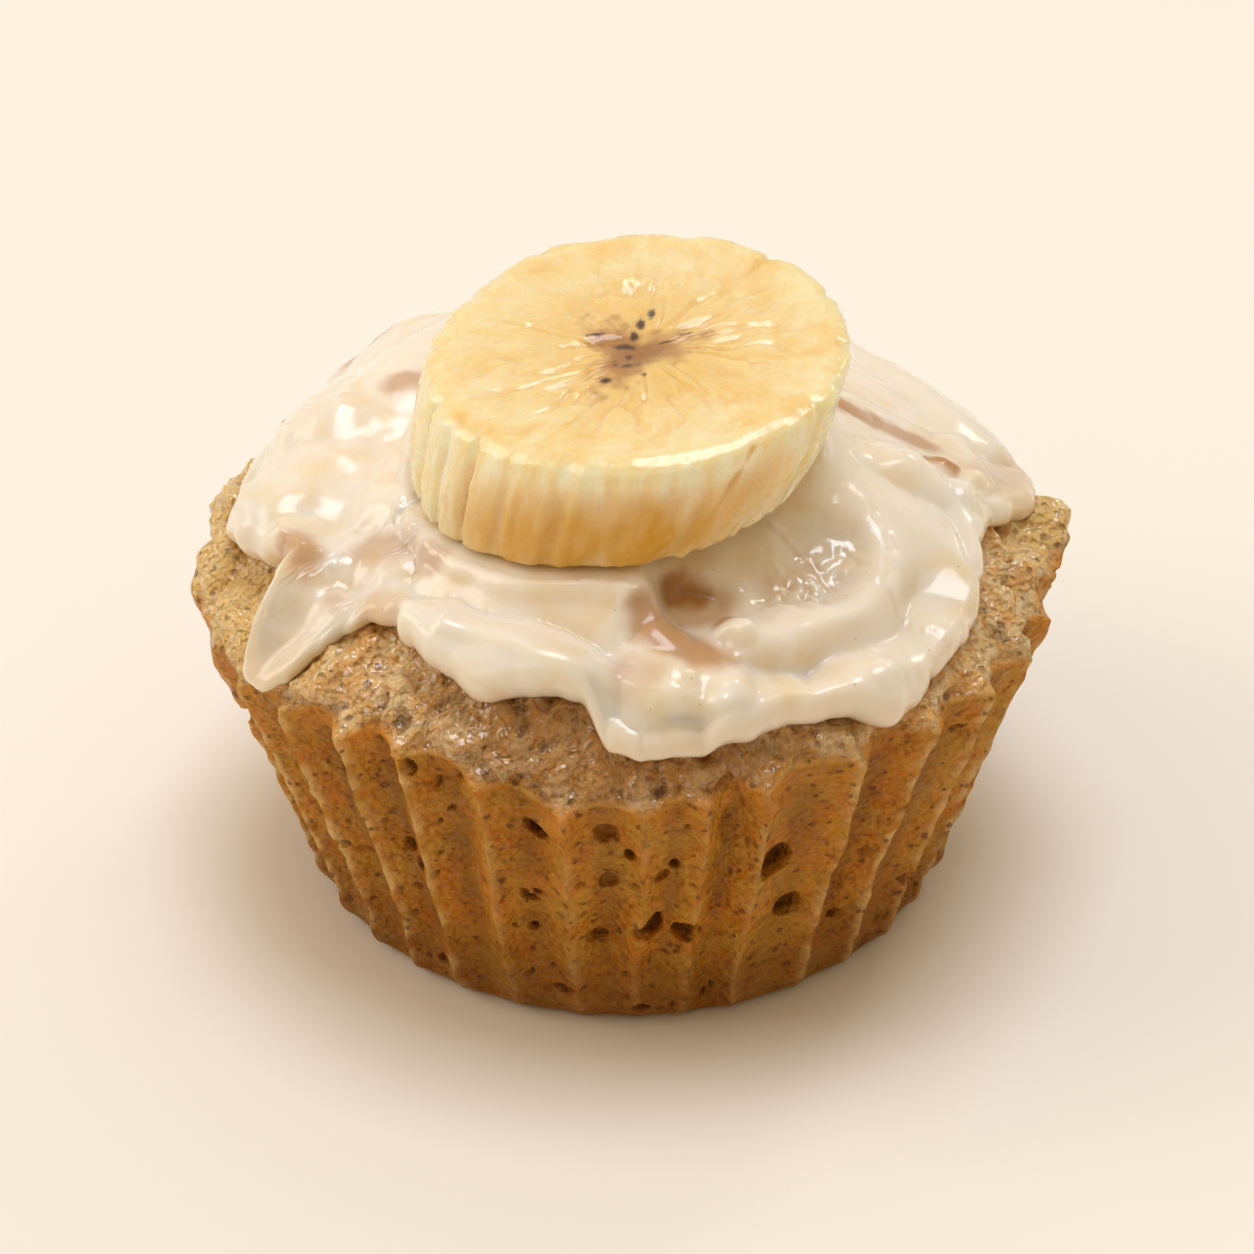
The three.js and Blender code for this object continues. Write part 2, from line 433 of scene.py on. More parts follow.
@dataclass(frozen=True)
class Finish:
    """What every finish shares: a material with a shader, the piece's attributes, and coats of colour."""

    name: str

    def start(
        self, **constants: object
    ) -> tuple[bpy.types.Material, bpy.types.NodeTree, bpy.types.Node, bpy.types.NodeSocket]:
        """Make an empty material with its surface shader.

        Args:
            **constants: what is the same all over the surface, by the names of the shader's inputs, written
                as add_node takes them.

        Returns:
            The material, its tree, its surface shader and the object coordinates.
        """
        material = bpy.data.materials.new(self.name)
        material.use_nodes = True
        tree = material.node_tree
        tree.nodes.clear()
        shader = add_node(tree, "ShaderNodeBsdfPrincipled", **constants)
        add_node(tree, "ShaderNodeOutputMaterial", surface=shader.outputs[0])
        return material, tree, shader, add_node(tree, "ShaderNodeTexCoord").outputs["Object"]

    @staticmethod
    def stored(tree: bpy.types.NodeTree, layer: Layer) -> Sequence[bpy.types.NodeSocket]:
        """Read the three values that the piece has stored in one of its layers."""
        attribute = add_node(tree, "ShaderNodeAttribute", {"attribute_name": layer.value})
        return list(add_node(tree, "ShaderNodeSeparateXYZ", vector=attribute.outputs["Vector"]).outputs)

    @staticmethod
    def coated(
        tree: bpy.types.NodeTree, base: str | bpy.types.NodeSocket, *coats: Coat
    ) -> bpy.types.NodeSocket:
        """Lay coats of colour over a base.

        Args:
            tree: the material's tree.
            base: the lowest colour.
            *coats: the coats, the lowest first.

        Returns:
            The colour that shows.
        """
        shown = linear(base) if isinstance(base, str) else base
        for coat in coats:
            share = coat.pattern
            if coat.low is not None:
                limits = {"i1": coat.low, "i2": coat.high, "i3": 0.0, "i4": coat.most}
                share = add_node(tree, "ShaderNodeMapRange", SMOOTH_RISE, i0=share, **limits).outputs[0]
            over = linear(coat.colour) if isinstance(coat.colour, str) else coat.colour
            shown = add_node(tree, "ShaderNodeMix", COLOURS, i0=share, i6=shown, i7=over).outputs[2]
        return shown


@dataclass(frozen=True)
class BakedCrumb(Finish):
    """Banana sponge, baked in a greased cup and turned out.

    The wall is a thin browned skin, wet with fat, mottled orange and tan where it clung to the cup, with
    small pores darkened by painted shade. A painted highlight runs along the crests and the rim, and painted
    shade darkens the foot, the flutes' valleys and the front of the top; the golden lobes are partly painted
    light. The top is open crumb: paler, granular, and sparkling with sugar and moisture.
    """

    name: str = "banana_sponge_baked"
    skin_tan: str = "#c48b22"
    skin_orange: str = "#ca7b0a"
    skin_brown: str = "#8c5006"
    skin_film: str = "#dcaa4a"
    skin_painted_shade: str = "#703f05"
    top_tan: str = "#f4ba6c"
    top_pale: str = "#ffdfa8"
    top_brown: str = "#c8863a"
    top_golden_lit: str = "#ffd286"
    top_front_shade: str = "#ac6c20"
    edge: str = "#da8c26"
    # Painted highlight along the crests and the rim.
    crest: str = "#ecc684"
    pit_shade: str = "#673608"
    pit_shade_top: str = "#a8753c"

    def build(self) -> bpy.types.Material:
        """Make the material."""
        material, tree, shader, coords = self.start(
            ior=1.4,
            specular_ior_level=0.3,
            coat_roughness=0.07,
            coat_ior=1.65,
            subsurface_weight=0.2,
            subsurface_radius=(1.0, 0.6, 0.2),
            subsurface_scale=1.6 * MILLIMETRE,
        )
        top, golden, front_shade = self.stored(tree, Layer.TOP)
        # crest is a painted highlight, and low is painted shade towards the foot and in the flutes' valleys.
        edge, crest, low = self.stored(tree, Layer.EDGE)
        # Painted shade in the pores and holes.
        pore = add_node(tree, "ShaderNodeAttribute", {"attribute_name": Layer.PORE.value}).outputs["Fac"]

        # Fat and sugar brown the skin in blotches of 3 mm and mottling of 1.3 mm, over a grain of half a
        # millimetre. Wet spots are 0.7 mm wide, and beads of moisture 0.9 mm.
        blotch, mottle, grain, wet, beads = (
            add_node(
                tree,
                "ShaderNodeTexNoise",
                vector=coords,
                scale=per_metre(size),
                detail=detail,
                roughness=roughness,
                distortion=distortion,
            ).outputs[0]
            for size, detail, roughness, distortion in (
                (3.0, 4.0, 0.62, 0.6),
                (1.3, 5.0, 0.66, 0.2),
                (0.5, 3.0, 0.6, 0.0),
                (0.7, 2.0, 0.5, 0.0),
                (0.9, 1.0, 0.4, 0.0),
            )
        )
        # Pits 1.25 mm apart, darkened with painted shade: the mottling hides most of them, so that they stand
        # in loose groups.
        cells = add_node(tree, "ShaderNodeTexVoronoi", CELLS, vector=coords, scale=per_metre(1.25))
        size = add_node(tree, "ShaderNodeMath", MULTIPLY_ADD, i0=mottle, i1=0.9, i2=-0.2).outputs[0]
        pits = add_node(tree, "ShaderNodeMath", SUBTRACT, i0=size, i1=cells.outputs["Distance"]).outputs[0]
        pits = add_node(tree, "ShaderNodeMapRange", SMOOTH_RISE, i0=pits, i1=0.0, i2=0.2).outputs[0]
        # Pale webs: the thin walls between bubbles that tore as the cake left its cup.
        warp = add_node(tree, "ShaderNodeTexNoise", vector=coords, scale=per_metre(1.6), detail=2.0)
        bent = add_node(tree, "ShaderNodeMix", VECTORS, i0=0.0025, i4=coords, i5=warp.outputs["Color"])
        webs = add_node(
            tree, "ShaderNodeTexVoronoi", CELL_WALLS, vector=bent.outputs[1], scale=per_metre(1.9)
        ).outputs["Distance"]

        # The last coat on the skin is painted shade towards the foot and in the flutes' valleys.
        skin = self.coated(
            tree,
            self.skin_tan,
            Coat(blotch, self.skin_orange, 0.38, 0.66),
            Coat(mottle, self.skin_brown, 0.46, 0.72, 0.7),
            Coat(webs, self.skin_film, 0.05, 0.0, 0.22),
            Coat(grain, self.skin_brown, 0.54, 0.72, 0.6),
            Coat(low, self.skin_painted_shade, 0.0, 1.0, 0.6),
        )
        # On the crumb, the golden coat is partly painted light, and the last coat is painted shade on the
        # front, under the icing.
        crumb = self.coated(
            tree,
            self.top_tan,
            Coat(blotch, self.top_pale, 0.38, 0.66),
            Coat(mottle, self.top_brown, 0.52, 0.7, 0.7),
            Coat(golden, self.top_golden_lit),
            Coat(front_shade, self.top_front_shade, 0.0, 1.0, 0.55),
        )
        # Over both go the toasting, a painted highlight along the crests and the rim, and painted shade in
        # the pits and pores.
        colour = self.coated(
            tree,
            skin,
            Coat(top, crumb),
            Coat(edge, self.edge),
            Coat(crest, self.crest),
            Coat(pits, self.coated(tree, self.pit_shade, Coat(top, self.pit_shade_top)), 0.0, 1.0, 0.7),
            Coat(pore, self.pit_shade),
        )
        tree.links.new(colour, shader.inputs["Base Color"])

        # The grain catches the light in points, more on the open top than on the skin.
        rough = add_node(tree, "ShaderNodeMapRange", i0=wet, i1=0.35, i2=0.65, i3=0.62, i4=0.3).outputs[0]
        tree.links.new(rough, shader.inputs["Roughness"])
        relief = mottle
        crumbs = add_node(
            tree, "ShaderNodeTexVoronoi", ROUND_CELLS, vector=coords, scale=per_metre(0.55)
        ).outputs["Distance"]
        for part, height in ((crumbs, 1.5), (grain, 0.8), (pits, -0.9)):
            relief = add_node(tree, "ShaderNodeMath", MULTIPLY_ADD, i0=part, i1=height, i2=relief).outputs[0]
        strength = add_node(tree, "ShaderNodeMapRange", i0=top, i3=0.6, i4=1.0).outputs[0]
        raised = add_node(
            tree, "ShaderNodeBump", strength=strength, distance=0.8 * MILLIMETRE, height=relief
        ).outputs[0]
        tree.links.new(raised, shader.inputs["Normal"])
        # The beads are round enough to glint, and the film that they stand in lies mostly on the open crumb.
        beaded = add_node(
            tree, "ShaderNodeBump", strength=1.0, distance=0.5 * MILLIMETRE, height=beads
        ).outputs[0]
        tree.links.new(beaded, shader.inputs["Coat Normal"])
        sparkle = add_node(tree, "ShaderNodeMapRange", SMOOTH_RISE, i0=wet, i1=0.36, i2=0.54).outputs[0]
        film = add_node(tree, "ShaderNodeMapRange", i0=top, i3=0.1, i4=1.0).outputs[0]
        coat = add_node(tree, "ShaderNodeMath", MULTIPLY, i0=film, i1=sparkle).outputs[0]
        tree.links.new(coat, shader.inputs["Coat Weight"])
        return material


@dataclass(frozen=True)
class GlazeIcing(Finish):
    """Icing sugar stirred with milk, poured while runny and set with a wet gloss.

    It is slightly see-through: cream where it lies thick, and the tan of the crumb comes through a thin film.
    Low on the dome and in the hollow under the slice, its colour also carries painted shade.
    """

    name: str = "sugar_glaze_poured"
    thick: str = "#f6eadb"
    warm: str = "#f3dfc0"
    thin: str = "#dfbf98"
    film: str = "#b98345"
    fleck: str = "#a98050"

    def build(self) -> bpy.types.Material:
        """Make the material."""
        material, tree, shader, coords = self.start(
            ior=1.48,
            coat_roughness=0.09,
            subsurface_weight=0.55,
            subsurface_radius=(1.0, 0.78, 0.56),
            subsurface_scale=2.2 * MILLIMETRE,
        )
        depth, showing, wet = self.stored(tree, Layer.FILM)
        # Swirls of 6 mm from the stirring, clouds of 2.2 mm, and faint ripples of 1.3 mm in the set skin.
        swirl, cloud, ripples = (
            add_node(
                tree,
                "ShaderNodeTexNoise",
                vector=coords,
                scale=per_metre(size),
                detail=detail,
                roughness=roughness,
                distortion=distortion,
            ).outputs[0]
            for size, detail, roughness, distortion in (
                (6.0, 3.0, 0.5, 1.2),
                (2.2, 3.0, 0.5, 0.0),
                (1.3, 2.0, 0.45, 0.8),
            )
        )
        # How deep the icing looks differs a little from how deep it is, as the sugar isn't evenly stirred in.
        looks = add_node(tree, "ShaderNodeMath", MULTIPLY_ADD, i0=cloud, i1=0.6, i2=depth).outputs[0]
        # Towards its edge, low on the dome, the icing is painted darker and warmer: painted shade.
        height = add_node(tree, "ShaderNodeSeparateXYZ", vector=coords).outputs["Z"]
        limits = {"i1": 37.0 * MILLIMETRE, "i2": 30.0 * MILLIMETRE, "i3": 0.0, "i4": 0.9}
        edge_shade = add_node(tree, "ShaderNodeMapRange", SMOOTH_RISE, i0=height, **limits).outputs[0]
        edge_shade = add_node(tree, "ShaderNodeMath", MULTIPLY, i0=edge_shade, i1=swirl).outputs[0]
        specks = add_node(tree, "ShaderNodeTexVoronoi", CELLS, vector=coords, scale=per_metre(2.2))
        colour = self.coated(
            tree,
            self.thick,
            Coat(swirl, self.warm, 0.45, 0.7),
            Coat(looks, self.thin, 1.3, 0.45, 0.75),
            Coat(edge_shade, self.thin),
            Coat(showing, self.film),
            Coat(specks.outputs["Distance"], self.fleck, 0.06, 0.03, 0.4),
        )
        tree.links.new(colour, shader.inputs["Base Color"])
        raised = add_node(tree, "ShaderNodeBump", strength=0.35, distance=0.12 * MILLIMETRE, height=ripples)
        tree.links.new(raised.outputs[0], shader.inputs["Normal"])
        # The puckered places are wetter than the rest.
        for name, dry, damp in (("Roughness", 0.24, 0.12), ("Coat Weight", 0.45, 1.0)):
            gloss = add_node(tree, "ShaderNodeMapRange", i0=wet, i3=dry, i4=damp)
            tree.links.new(gloss.outputs[0], shader.inputs[name])
        return material


@dataclass(frozen=True)
class BananaFlesh(Finish):
    """Ripe banana, freshly cut: juicy, fibrous and slightly see-through.

    The cut face is pale yellow with faint ochre rays and a brown, seeded core. The side is paler along the
    upper edge, and more ochre and see-through further down; in front and near its foot the ochre is partly
    painted shade.
    """

    name: str = "banana_flesh_cut"
    face: str = "#f8dc9c"
    face_pale: str = "#faeac0"
    face_deep: str = "#f0c670"
    ray: str = "#dba83e"
    core: str = "#a86a28"
    seed: str = "#3c160c"
    side_top: str = "#fff4d8"
    side_pale: str = "#f9dfa0"
    side_middle: str = "#deaa36"
    side_low: str = "#e2b862"

    def build(self) -> bpy.types.Material:
        """Make the material."""
        material, tree, shader, coords = self.start(
            ior=1.42,
            coat_weight=0.7,
            coat_roughness=0.11,
            coat_ior=1.6,
            subsurface_weight=0.7,
            subsurface_radius=(1.0, 0.7, 0.34),
            subsurface_scale=2.6 * MILLIMETRE,
        )
        across = {"attribute_name": Layer.ACROSS.value}
        across = add_node(tree, "ShaderNodeAttribute", across).outputs["Vector"]
        inner, core, seed = (
            add_node(tree, "ShaderNodeAttribute", {"attribute_name": layer.value}).outputs["Fac"]
            for layer in (Layer.INNER, Layer.CORE, Layer.SEED)
        )
        beside, ochre_and_shade, crack = self.stored(tree, Layer.SIDE)

        # Rays and threads: ACROSS makes noise long outwards and narrow around. Pulp is 2.4 mm wide, fibres
        # 0.6 mm and films of juice 3 mm. The side's grain is 1.8 mm wide and stretched along the fruit.
        along = add_node(tree, "ShaderNodeMapping", vector=coords, scale=(1.0, 1.0, 0.16)).outputs[0]
        rays, threads, pulp, fibre, juice, grain = (
            add_node(
                tree,
                "ShaderNodeTexNoise",
                vector=places,
                scale=scale,
                detail=detail,
                roughness=roughness,
                distortion=distortion,
            ).outputs[0]
            for places, scale, detail, roughness, distortion in (
                (across, 1.0, 4.0, 0.6, 0.35),
                (across, 3.6, 3.0, 0.6, 0.5),
                (coords, per_metre(2.4), 5.0, 0.65, 0.5),
                (coords, per_metre(0.6), 3.0, 0.65, 0.8),
                (coords, per_metre(3.0), 3.0, 0.6, 1.0),
                (along, per_metre(1.8), 4.0, 0.6, 0.0),
            )
        )
        face = self.coated(
            tree,
            self.face,
            Coat(pulp, self.face_pale, 0.32, 0.7, 0.8),
            Coat(inner, self.face_deep, 0.0, 1.0, 0.75),
            Coat(rays, self.face_deep, 0.46, 0.62, 0.5),
            Coat(rays, self.ray, 0.62, 0.74, 0.5),
            Coat(core, self.core),
        )
        # The ochre coat on the side is partly painted shade, in front and near its foot.
        side = self.coated(
            tree,
            self.side_top,
            Coat(grain, self.side_pale, 0.35, 0.7),
            Coat(ochre_and_shade, self.side_middle),
            Coat(fibre, self.side_low, 0.55, 0.75, 0.25),
            Coat(crack, self.ray),
        )
        colour = self.coated(tree, face, Coat(beside, side), Coat(seed, self.seed))
        tree.links.new(colour, shader.inputs["Base Color"])

        relief = add_node(tree, "ShaderNodeMath", MULTIPLY_ADD, i0=threads, i1=1.4, i2=pulp).outputs[0]
        raised = add_node(tree, "ShaderNodeBump", strength=0.6, distance=0.2 * MILLIMETRE, height=relief)
        tree.links.new(raised.outputs[0], shader.inputs["Normal"])
        # The flesh is glossier under the films of juice than between them.
        rough = add_node(tree, "ShaderNodeMapRange", i0=juice, i1=0.4, i2=0.58, i3=0.34, i4=0.14).outputs[0]
        tree.links.new(rough, shader.inputs["Roughness"])
        return material


@dataclass(frozen=True)
class StudioPaper(Finish):
    """Matt cream paper that the cupcake stands on."""

    name: str = "studio_paper_matt"
    cream: str = "#f6f1e9"

    def build(self) -> bpy.types.Material:
        """Make the material."""
        return self.start(base_color=linear(self.cream), roughness=0.9, specular_ior_level=0.1)[0]


# ------------------------------------------------------------------------------------------------------------
# The cake
# ------------------------------------------------------------------------------------------------------------


@dataclass(frozen=True)
class Lump:
    """A mound of crumb: where it stands, how wide it is and how far it rises."""

    azimuth: float
    distance: float
    half_width: float
    rise: float


@dataclass(frozen=True)
class Pore:
    """A burst bubble in the skin: where it is, its half width along the wall and half height up it."""

    azimuth: float
    height: float
    half_width: float
    half_height: float
    depth: float


@dataclass(frozen=True)
class Lathed:
    """Where each vertex stands on the plain lathed cake."""

    places: np.ndarray
    radius: np.ndarray
    azimuth: np.ndarray
    on_top: np.ndarray  # true on the dome, false on the wall and the foot
    inward: np.ndarray  # distance from the rim on the dome, 0 on the wall
    flute: np.ndarray  # which flute it is in
    phase: np.ndarray  # 0 at one crest and 1 at the next

    @property
    def height(self) -> np.ndarray:
        """Heights over the foot."""
        return self.places[:, 2]


@dataclass
class Cake:
    """The baked sponge: a fluted wall on a rounded heel, and a domed, lumpy top of open crumb."""

    rim_radius: float
    rim_height: float = 27.6
    foot_radius: float = 24.0
    heel_radius: float = 27.5
    heel_height: float = 3.6
    heel_corner_inset: float = 0.2  # how far the corner of the heel's curve stands inside the heel
    rim_bevel: tuple[float, float] = (0.2, 0.3)  # how much of the rim's corner is cut off, across and down
    dome_rise: float = 12.6
    dome_power: float = 2.5
    flutes: int = 34
    columns_per_flute: int = 14
    flute_depth: float = 2.1
    flute_depths: tuple[float, float] = (0.72, 1.2)  # least and most share of that depth
    flute_tilts: tuple[float, float] = (-0.32, 0.32)  # how much deeper a flute is at one side
    flute_rises: tuple[float, float] = (-0.35, 0.45)  # how far the rim rises between two crests
    crest_sway: float = 0.12  # share of a flute by which its crest sways
    crest_width: float = 0.34
    foot_rings: int = 9
    heel_rings: int = 12
    mesh_step: float = 0.45
    fine_reach: float = 20.0  # nearer the axis than this, under the icing, the dome's rings lie further apart
    middle_rings: int = 15
    bake_centre: float = 14.0  # height on the axis from which the lumps are pushed outwards
    seed: int = 7
    rim: tuple[tuple[float, float], ...] = (
        # Azimuth and how far the rim stands over its usual height there.
        (-155, 0.6),
        (-125, -0.6),
        (-100, -1.9),
        (-80, -1.7),
        (-62, -1.0),
        (-48, 0.7),
        (-36, 1.5),
        (-27, 1.6),
        (-19, 0.2),
        (-12, -0.8),
        (0, -0.6),
        (8, 0.0),
        (16, -0.2),
        (24, 0.6),
        (42, 0.9),
        (66, 0.3),
        (90, 1.0),
        (120, -0.2),
        (150, 0.7),
        (178, -0.4),
    )
    crest_shift: tuple[tuple[float, float], ...] = (
        # Azimuth of a crest and how far it's turned from its even place, in degrees.
        (-150, 0.0),
        (-63.5, 3.3),
        (-52.9, 3.6),
        (-42.4, 3.2),
        (-31.8, 1.9),
        (-21.2, 3.1),
        (-10.6, 2.5),
        (0, 1.0),
        (10.6, -1.5),
        (21.2, -3.0),
        (31.8, -1.8),
        (60, 0.0),
    )
    lumps: tuple[Lump, ...] = (
        # The shoulder's lobes, from the left round the front to the right and the back.
        Lump(-101, 33.2, 4.8, 2.6),
        Lump(-84, 33.4, 4.6, 2.4),
        Lump(-72, 33.2, 3.6, 1.5),
        Lump(-63, 33.0, 4.4, 2.0),
        Lump(-47, 31.0, 3.6, 0.8),
        Lump(-33, 32.8, 3.4, 0.7),
        Lump(-22, 32.4, 3.0, 0.5),
        Lump(8, 33.8, 3.0, 0.5),
        Lump(29, 33.6, 3.4, 0.8),
        Lump(41, 33.8, 3.4, 1.3),
        Lump(53, 33.4, 3.6, 1.1),
        Lump(66, 33.6, 3.8, 1.6),
        Lump(79, 33.2, 3.4, 1.2),
        Lump(91, 33.4, 4.2, 3.0),
        Lump(104, 33.0, 3.8, 1.2),
        Lump(122, 32.6, 4.4, 1.6),
        Lump(141, 33.4, 4.0, 1.0),
        Lump(160, 32.8, 4.6, 1.7),
        Lump(-176, 33.6, 4.0, 1.2),
        Lump(-158, 32.6, 4.8, 1.6),
        Lump(-139, 33.4, 4.0, 1.0),
        Lump(-122, 33.0, 4.2, 1.7),
        # Low swells under the icing.
        Lump(-57.0, 27.4, 3.5, 0.8),
        Lump(-53.2, 23.3, 3.4, 0.7),
        Lump(10.6, 25.6, 3.4, 0.9),
        Lump(94.0, 23.0, 3.8, 0.8),
        Lump(-171.0, 21.0, 3.2, 0.9),
        Lump(150.0, 27.0, 2.6, 0.8),
    )
    dents: tuple[Lump, ...] = (
        Lump(-38.0, 29.4, 2.2, -1.0),
        Lump(13.5, 21.4, 2.6, -1.2),
        Lump(-77.0, 32.6, 1.8, -0.9),
    )
    # Middle and half width of the stretches, in degrees, where the lobes hang over the flutes' ends.
    overhangs: tuple[tuple[float, float], ...] = ((-88.0, 34.0), (91.0, 13.0))
    # Stretches, in degrees, where the lobes are painted a lighter golden: partly their crust, partly painted
    # light.
    golden: tuple[tuple[float, float], ...] = ((-112.0, -60.0), (84.0, 98.0))
    pores: tuple[Pore, ...] = (
        Pore(23.5, 18.0, 1.1, 1.05, 1.5),
        Pore(2.2, 12.2, 1.25, 1.05, 1.4),
        Pore(9.6, 11.4, 1.25, 0.95, 1.4),
        Pore(27.7, 11.7, 0.9, 0.9, 1.3),
        Pore(-14.8, 23.6, 0.95, 0.9, 1.3),
        Pore(-54.9, 18.0, 0.55, 0.55, 1.0),
        Pore(-47.8, 20.9, 0.4, 0.75, 0.7),
        Pore(-31.0, 26.6, 0.36, 0.6, 0.9),
        Pore(-24.9, 26.2, 0.24, 0.45, 0.7),
        Pore(6.0, 19.8, 0.65, 0.45, 0.9),
        Pore(3.2, 18.6, 0.9, 0.5, 0.4),
        Pore(-1.8, 22.3, 0.42, 0.5, 0.9),
        Pore(-5.5, 24.4, 1.0, 0.7, 0.5),
        Pore(-5.1, 17.9, 0.85, 0.65, 0.5),
        Pore(-16.2, 14.4, 0.75, 0.32, 0.8),
        Pore(-6.7, 10.2, 0.8, 0.45, 0.6),
        Pore(-38.0, 15.6, 0.55, 0.4, 0.7),
        Pore(-35.7, 14.0, 0.75, 0.6, 0.5),
        Pore(45.4, 17.2, 0.9, 0.34, 0.8),
        Pore(52.8, 7.7, 0.5, 0.6, 0.8),
        Pore(59.9, 16.6, 0.4, 0.4, 0.7),
        Pore(38.9, 7.1, 0.5, 0.4, 0.7),
        Pore(-12.9, 3.6, 0.6, 0.3, 0.7),
        Pore(-36.0, 3.0, 0.7, 0.35, 0.8),
        Pore(1.0, 1.9, 0.8, 0.34, 0.8),
    )
    pore_spread: tuple[float, float] = (1.15, 1.35)  # how much wider and higher the pores open than listed
    random_pores: int = 210
    front_reach: float = 62.0  # degrees to both sides of the front, where only listed pores are large
    front_half_width: float = 0.34
    # Small holes in the crumb of the top: azimuth, distance from the axis, half width.
    holes: tuple[tuple[float, float, float], ...] = (
        (-33.3, 32.4, 0.75),
        (-29.4, 30.6, 0.5),
        (-38.5, 32.0, 0.8),
        (-21.0, 33.2, 0.4),
        (3.0, 33.6, 0.7),
    )
    random_holes: int = 44
    hole_reach: tuple[float, float] = (29.5, 34.0)  # least and most distance of the random ones from the axis
    piece: Piece = field(init=False)

    def half_section(self) -> list[tuple[float, float]]:
        """Draw the half section from the foot's middle, up the wall and over the dome to its top.

        Returns:
            Distance from the axis and height of each point.
        """
        step = self.mesh_step
        foot = [(radius, 0.0) for radius in np.linspace(0.0, self.foot_radius, self.foot_rings)]
        corner = self.heel_radius - self.heel_corner_inset
        heel = []
        for share in np.linspace(0.0, 1.0, self.heel_rings + 1)[1:]:
            radius = (1 - share) ** 2 * self.foot_radius + 2 * share * (1 - share) * corner
            heel.append((radius + share**2 * self.heel_radius, share**2 * self.heel_height))
        lean = (self.rim_radius - self.heel_radius) / (self.rim_height - self.heel_height)
        wall_steps = int((self.rim_height - self.heel_height) * math.hypot(1.0, lean) / step)
        heights = np.linspace(self.heel_height, self.rim_height - self.rim_bevel[1], wall_steps + 1)[1:]
        wall = [(self.heel_radius + lean * (height - self.heel_height), height) for height in heights]
        outer = np.arange(self.rim_radius - self.rim_bevel[0], self.fine_reach, -step)
        inner = np.linspace(self.fine_reach, 0.0, self.middle_rings)
        top = [(radius, self.dome_height(radius)) for radius in [*outer, *inner]]
        return [*foot, *heel, *wall, *top]

    def dome_height(self, distance: np.ndarray | float) -> np.ndarray:
        """Height of the smooth dome, without its lumps, at a distance from the axis."""
        share = np.clip(distance / self.rim_radius, 0.0, 1.0)
        return self.rim_height + self.dome_rise * (1.0 - share**self.dome_power)

    def dome_slope(self, distance: np.ndarray) -> np.ndarray:
        """How far the smooth dome falls for each millimetre outwards."""
        share = np.clip(distance / self.rim_radius, 0.0, 1.0)
        return self.dome_rise * self.dome_power / self.rim_radius * share ** (self.dome_power - 1.0)

    def lathed(self) -> Lathed:
        """Work out where each vertex of the plain body stands among the flutes and on the dome."""
        places = self.piece.places()
        radius = np.hypot(places[:, 0], places[:, 1])
        azimuth = azimuths(places[:, 0], places[:, 1])
        on_top = places[:, 2] > self.rim_height - WALL_SLACK
        turns = azimuth / 360.0 * self.flutes
        flute = np.floor(turns + CREST_SLACK)
        return Lathed(
            places=places,
            radius=radius,
            azimuth=azimuth,
            on_top=on_top,
            inward=np.where(on_top, self.rim_radius - radius, 0.0),
            flute=flute.astype(int) % self.flutes,
            phase=np.clip(turns - flute, 0.0, 1.0),
        )

    def all_pores(self) -> list[Pore]:
        """Add seeded small pores all round to the listed ones.

        Returns:
            Every pore, the listed ones first.
        """
        draw = random.Random(self.seed)
        pores = list(self.pores)
        while len(pores) < len(self.pores) + self.random_pores:
            azimuth, height = draw.uniform(-180.0, 180.0), draw.uniform(1.5, self.rim_height - 1.0)
            half_width = 0.2 + 0.9 * draw.random() ** 3.5
            flatness = draw.uniform(0.55, 1.15)
            if abs(azimuth) < self.front_reach and half_width > self.front_half_width:
                continue
            pores.append(Pore(azimuth, height, half_width, half_width * flatness, 0.5 + half_width * 0.8))
        return pores

    def wall_distances(self, places: np.ndarray, pore: Pore) -> np.ndarray:
        """How far each point is from a pore's middle, where 1 is the pore's rim.

        Args:
            places: points on the lathed body.
            pore: the pore to judge.

        Returns:
            The distances as shares of the pore's own size.
        """
        radius = np.hypot(places[:, 0], places[:, 1])
        around = np.radians(from_mark(azimuths(places[:, 0], places[:, 1]), pore.azimuth)) * radius
        up = places[:, 2] - pore.height
        wider, higher = self.pore_spread
        return np.hypot(around / (wider * pore.half_width), up / (higher * pore.half_height))

    def build(self) -> Piece:
        """Spin the body, press the flutes, raise the lumps and burst the pores.

        Returns:
            The finished piece, not yet dressed.
        """
        self.piece = Piece.spun("cake_sponge", self.half_section(), self.flutes * self.columns_per_flute)
        pores = self.all_pores()
        middles = self.piece.face_middles()
        on_wall = middles[:, 2] < self.rim_height
        fine = np.zeros(len(middles), dtype=bool)
        for pore in pores:
            if pore.half_width > 0.3:
                reach = 1.0 + 0.5 / min(pore.half_width, pore.half_height)
                fine |= on_wall & (self.wall_distances(middles, pore) < reach)
        self.piece.refine(fine, 2)

        lathed = self.lathed()
        self.press_flutes(lathed)
        self.raise_lumps(lathed)
        self.burst_pores(lathed, pores)
        return self.piece

    def press_flutes(self, lathed: Lathed) -> None:
        """Press the cup's flutes into the wall, and let the rim wave up and down.

        Args:
            lathed: the vertices on the plain lathed body.
        """
        draw = random.Random(self.seed + 1)
        depths, tilts, rises = (
            np.array([draw.uniform(least, most) for _ in range(self.flutes)])[lathed.flute]
            for least, most in (self.flute_depths, self.flute_tilts, self.flute_rises)
        )
        ring = np.stack([*plan(lathed.azimuth, 9.0).T, lathed.height * 0.25], axis=1)
        flat_ring = ring * (1, 1, 0)
        sway = unevenness(ring, 3.1, Swell.FLUTE_SWAY) + unevenness(flat_ring, 2.3, Swell.CREST_SWAY)
        sway *= self.crest_sway * 360.0 / self.flutes
        turned = np.radians(lathed.azimuth + round_trip(lathed.azimuth, self.crest_shift) + sway)

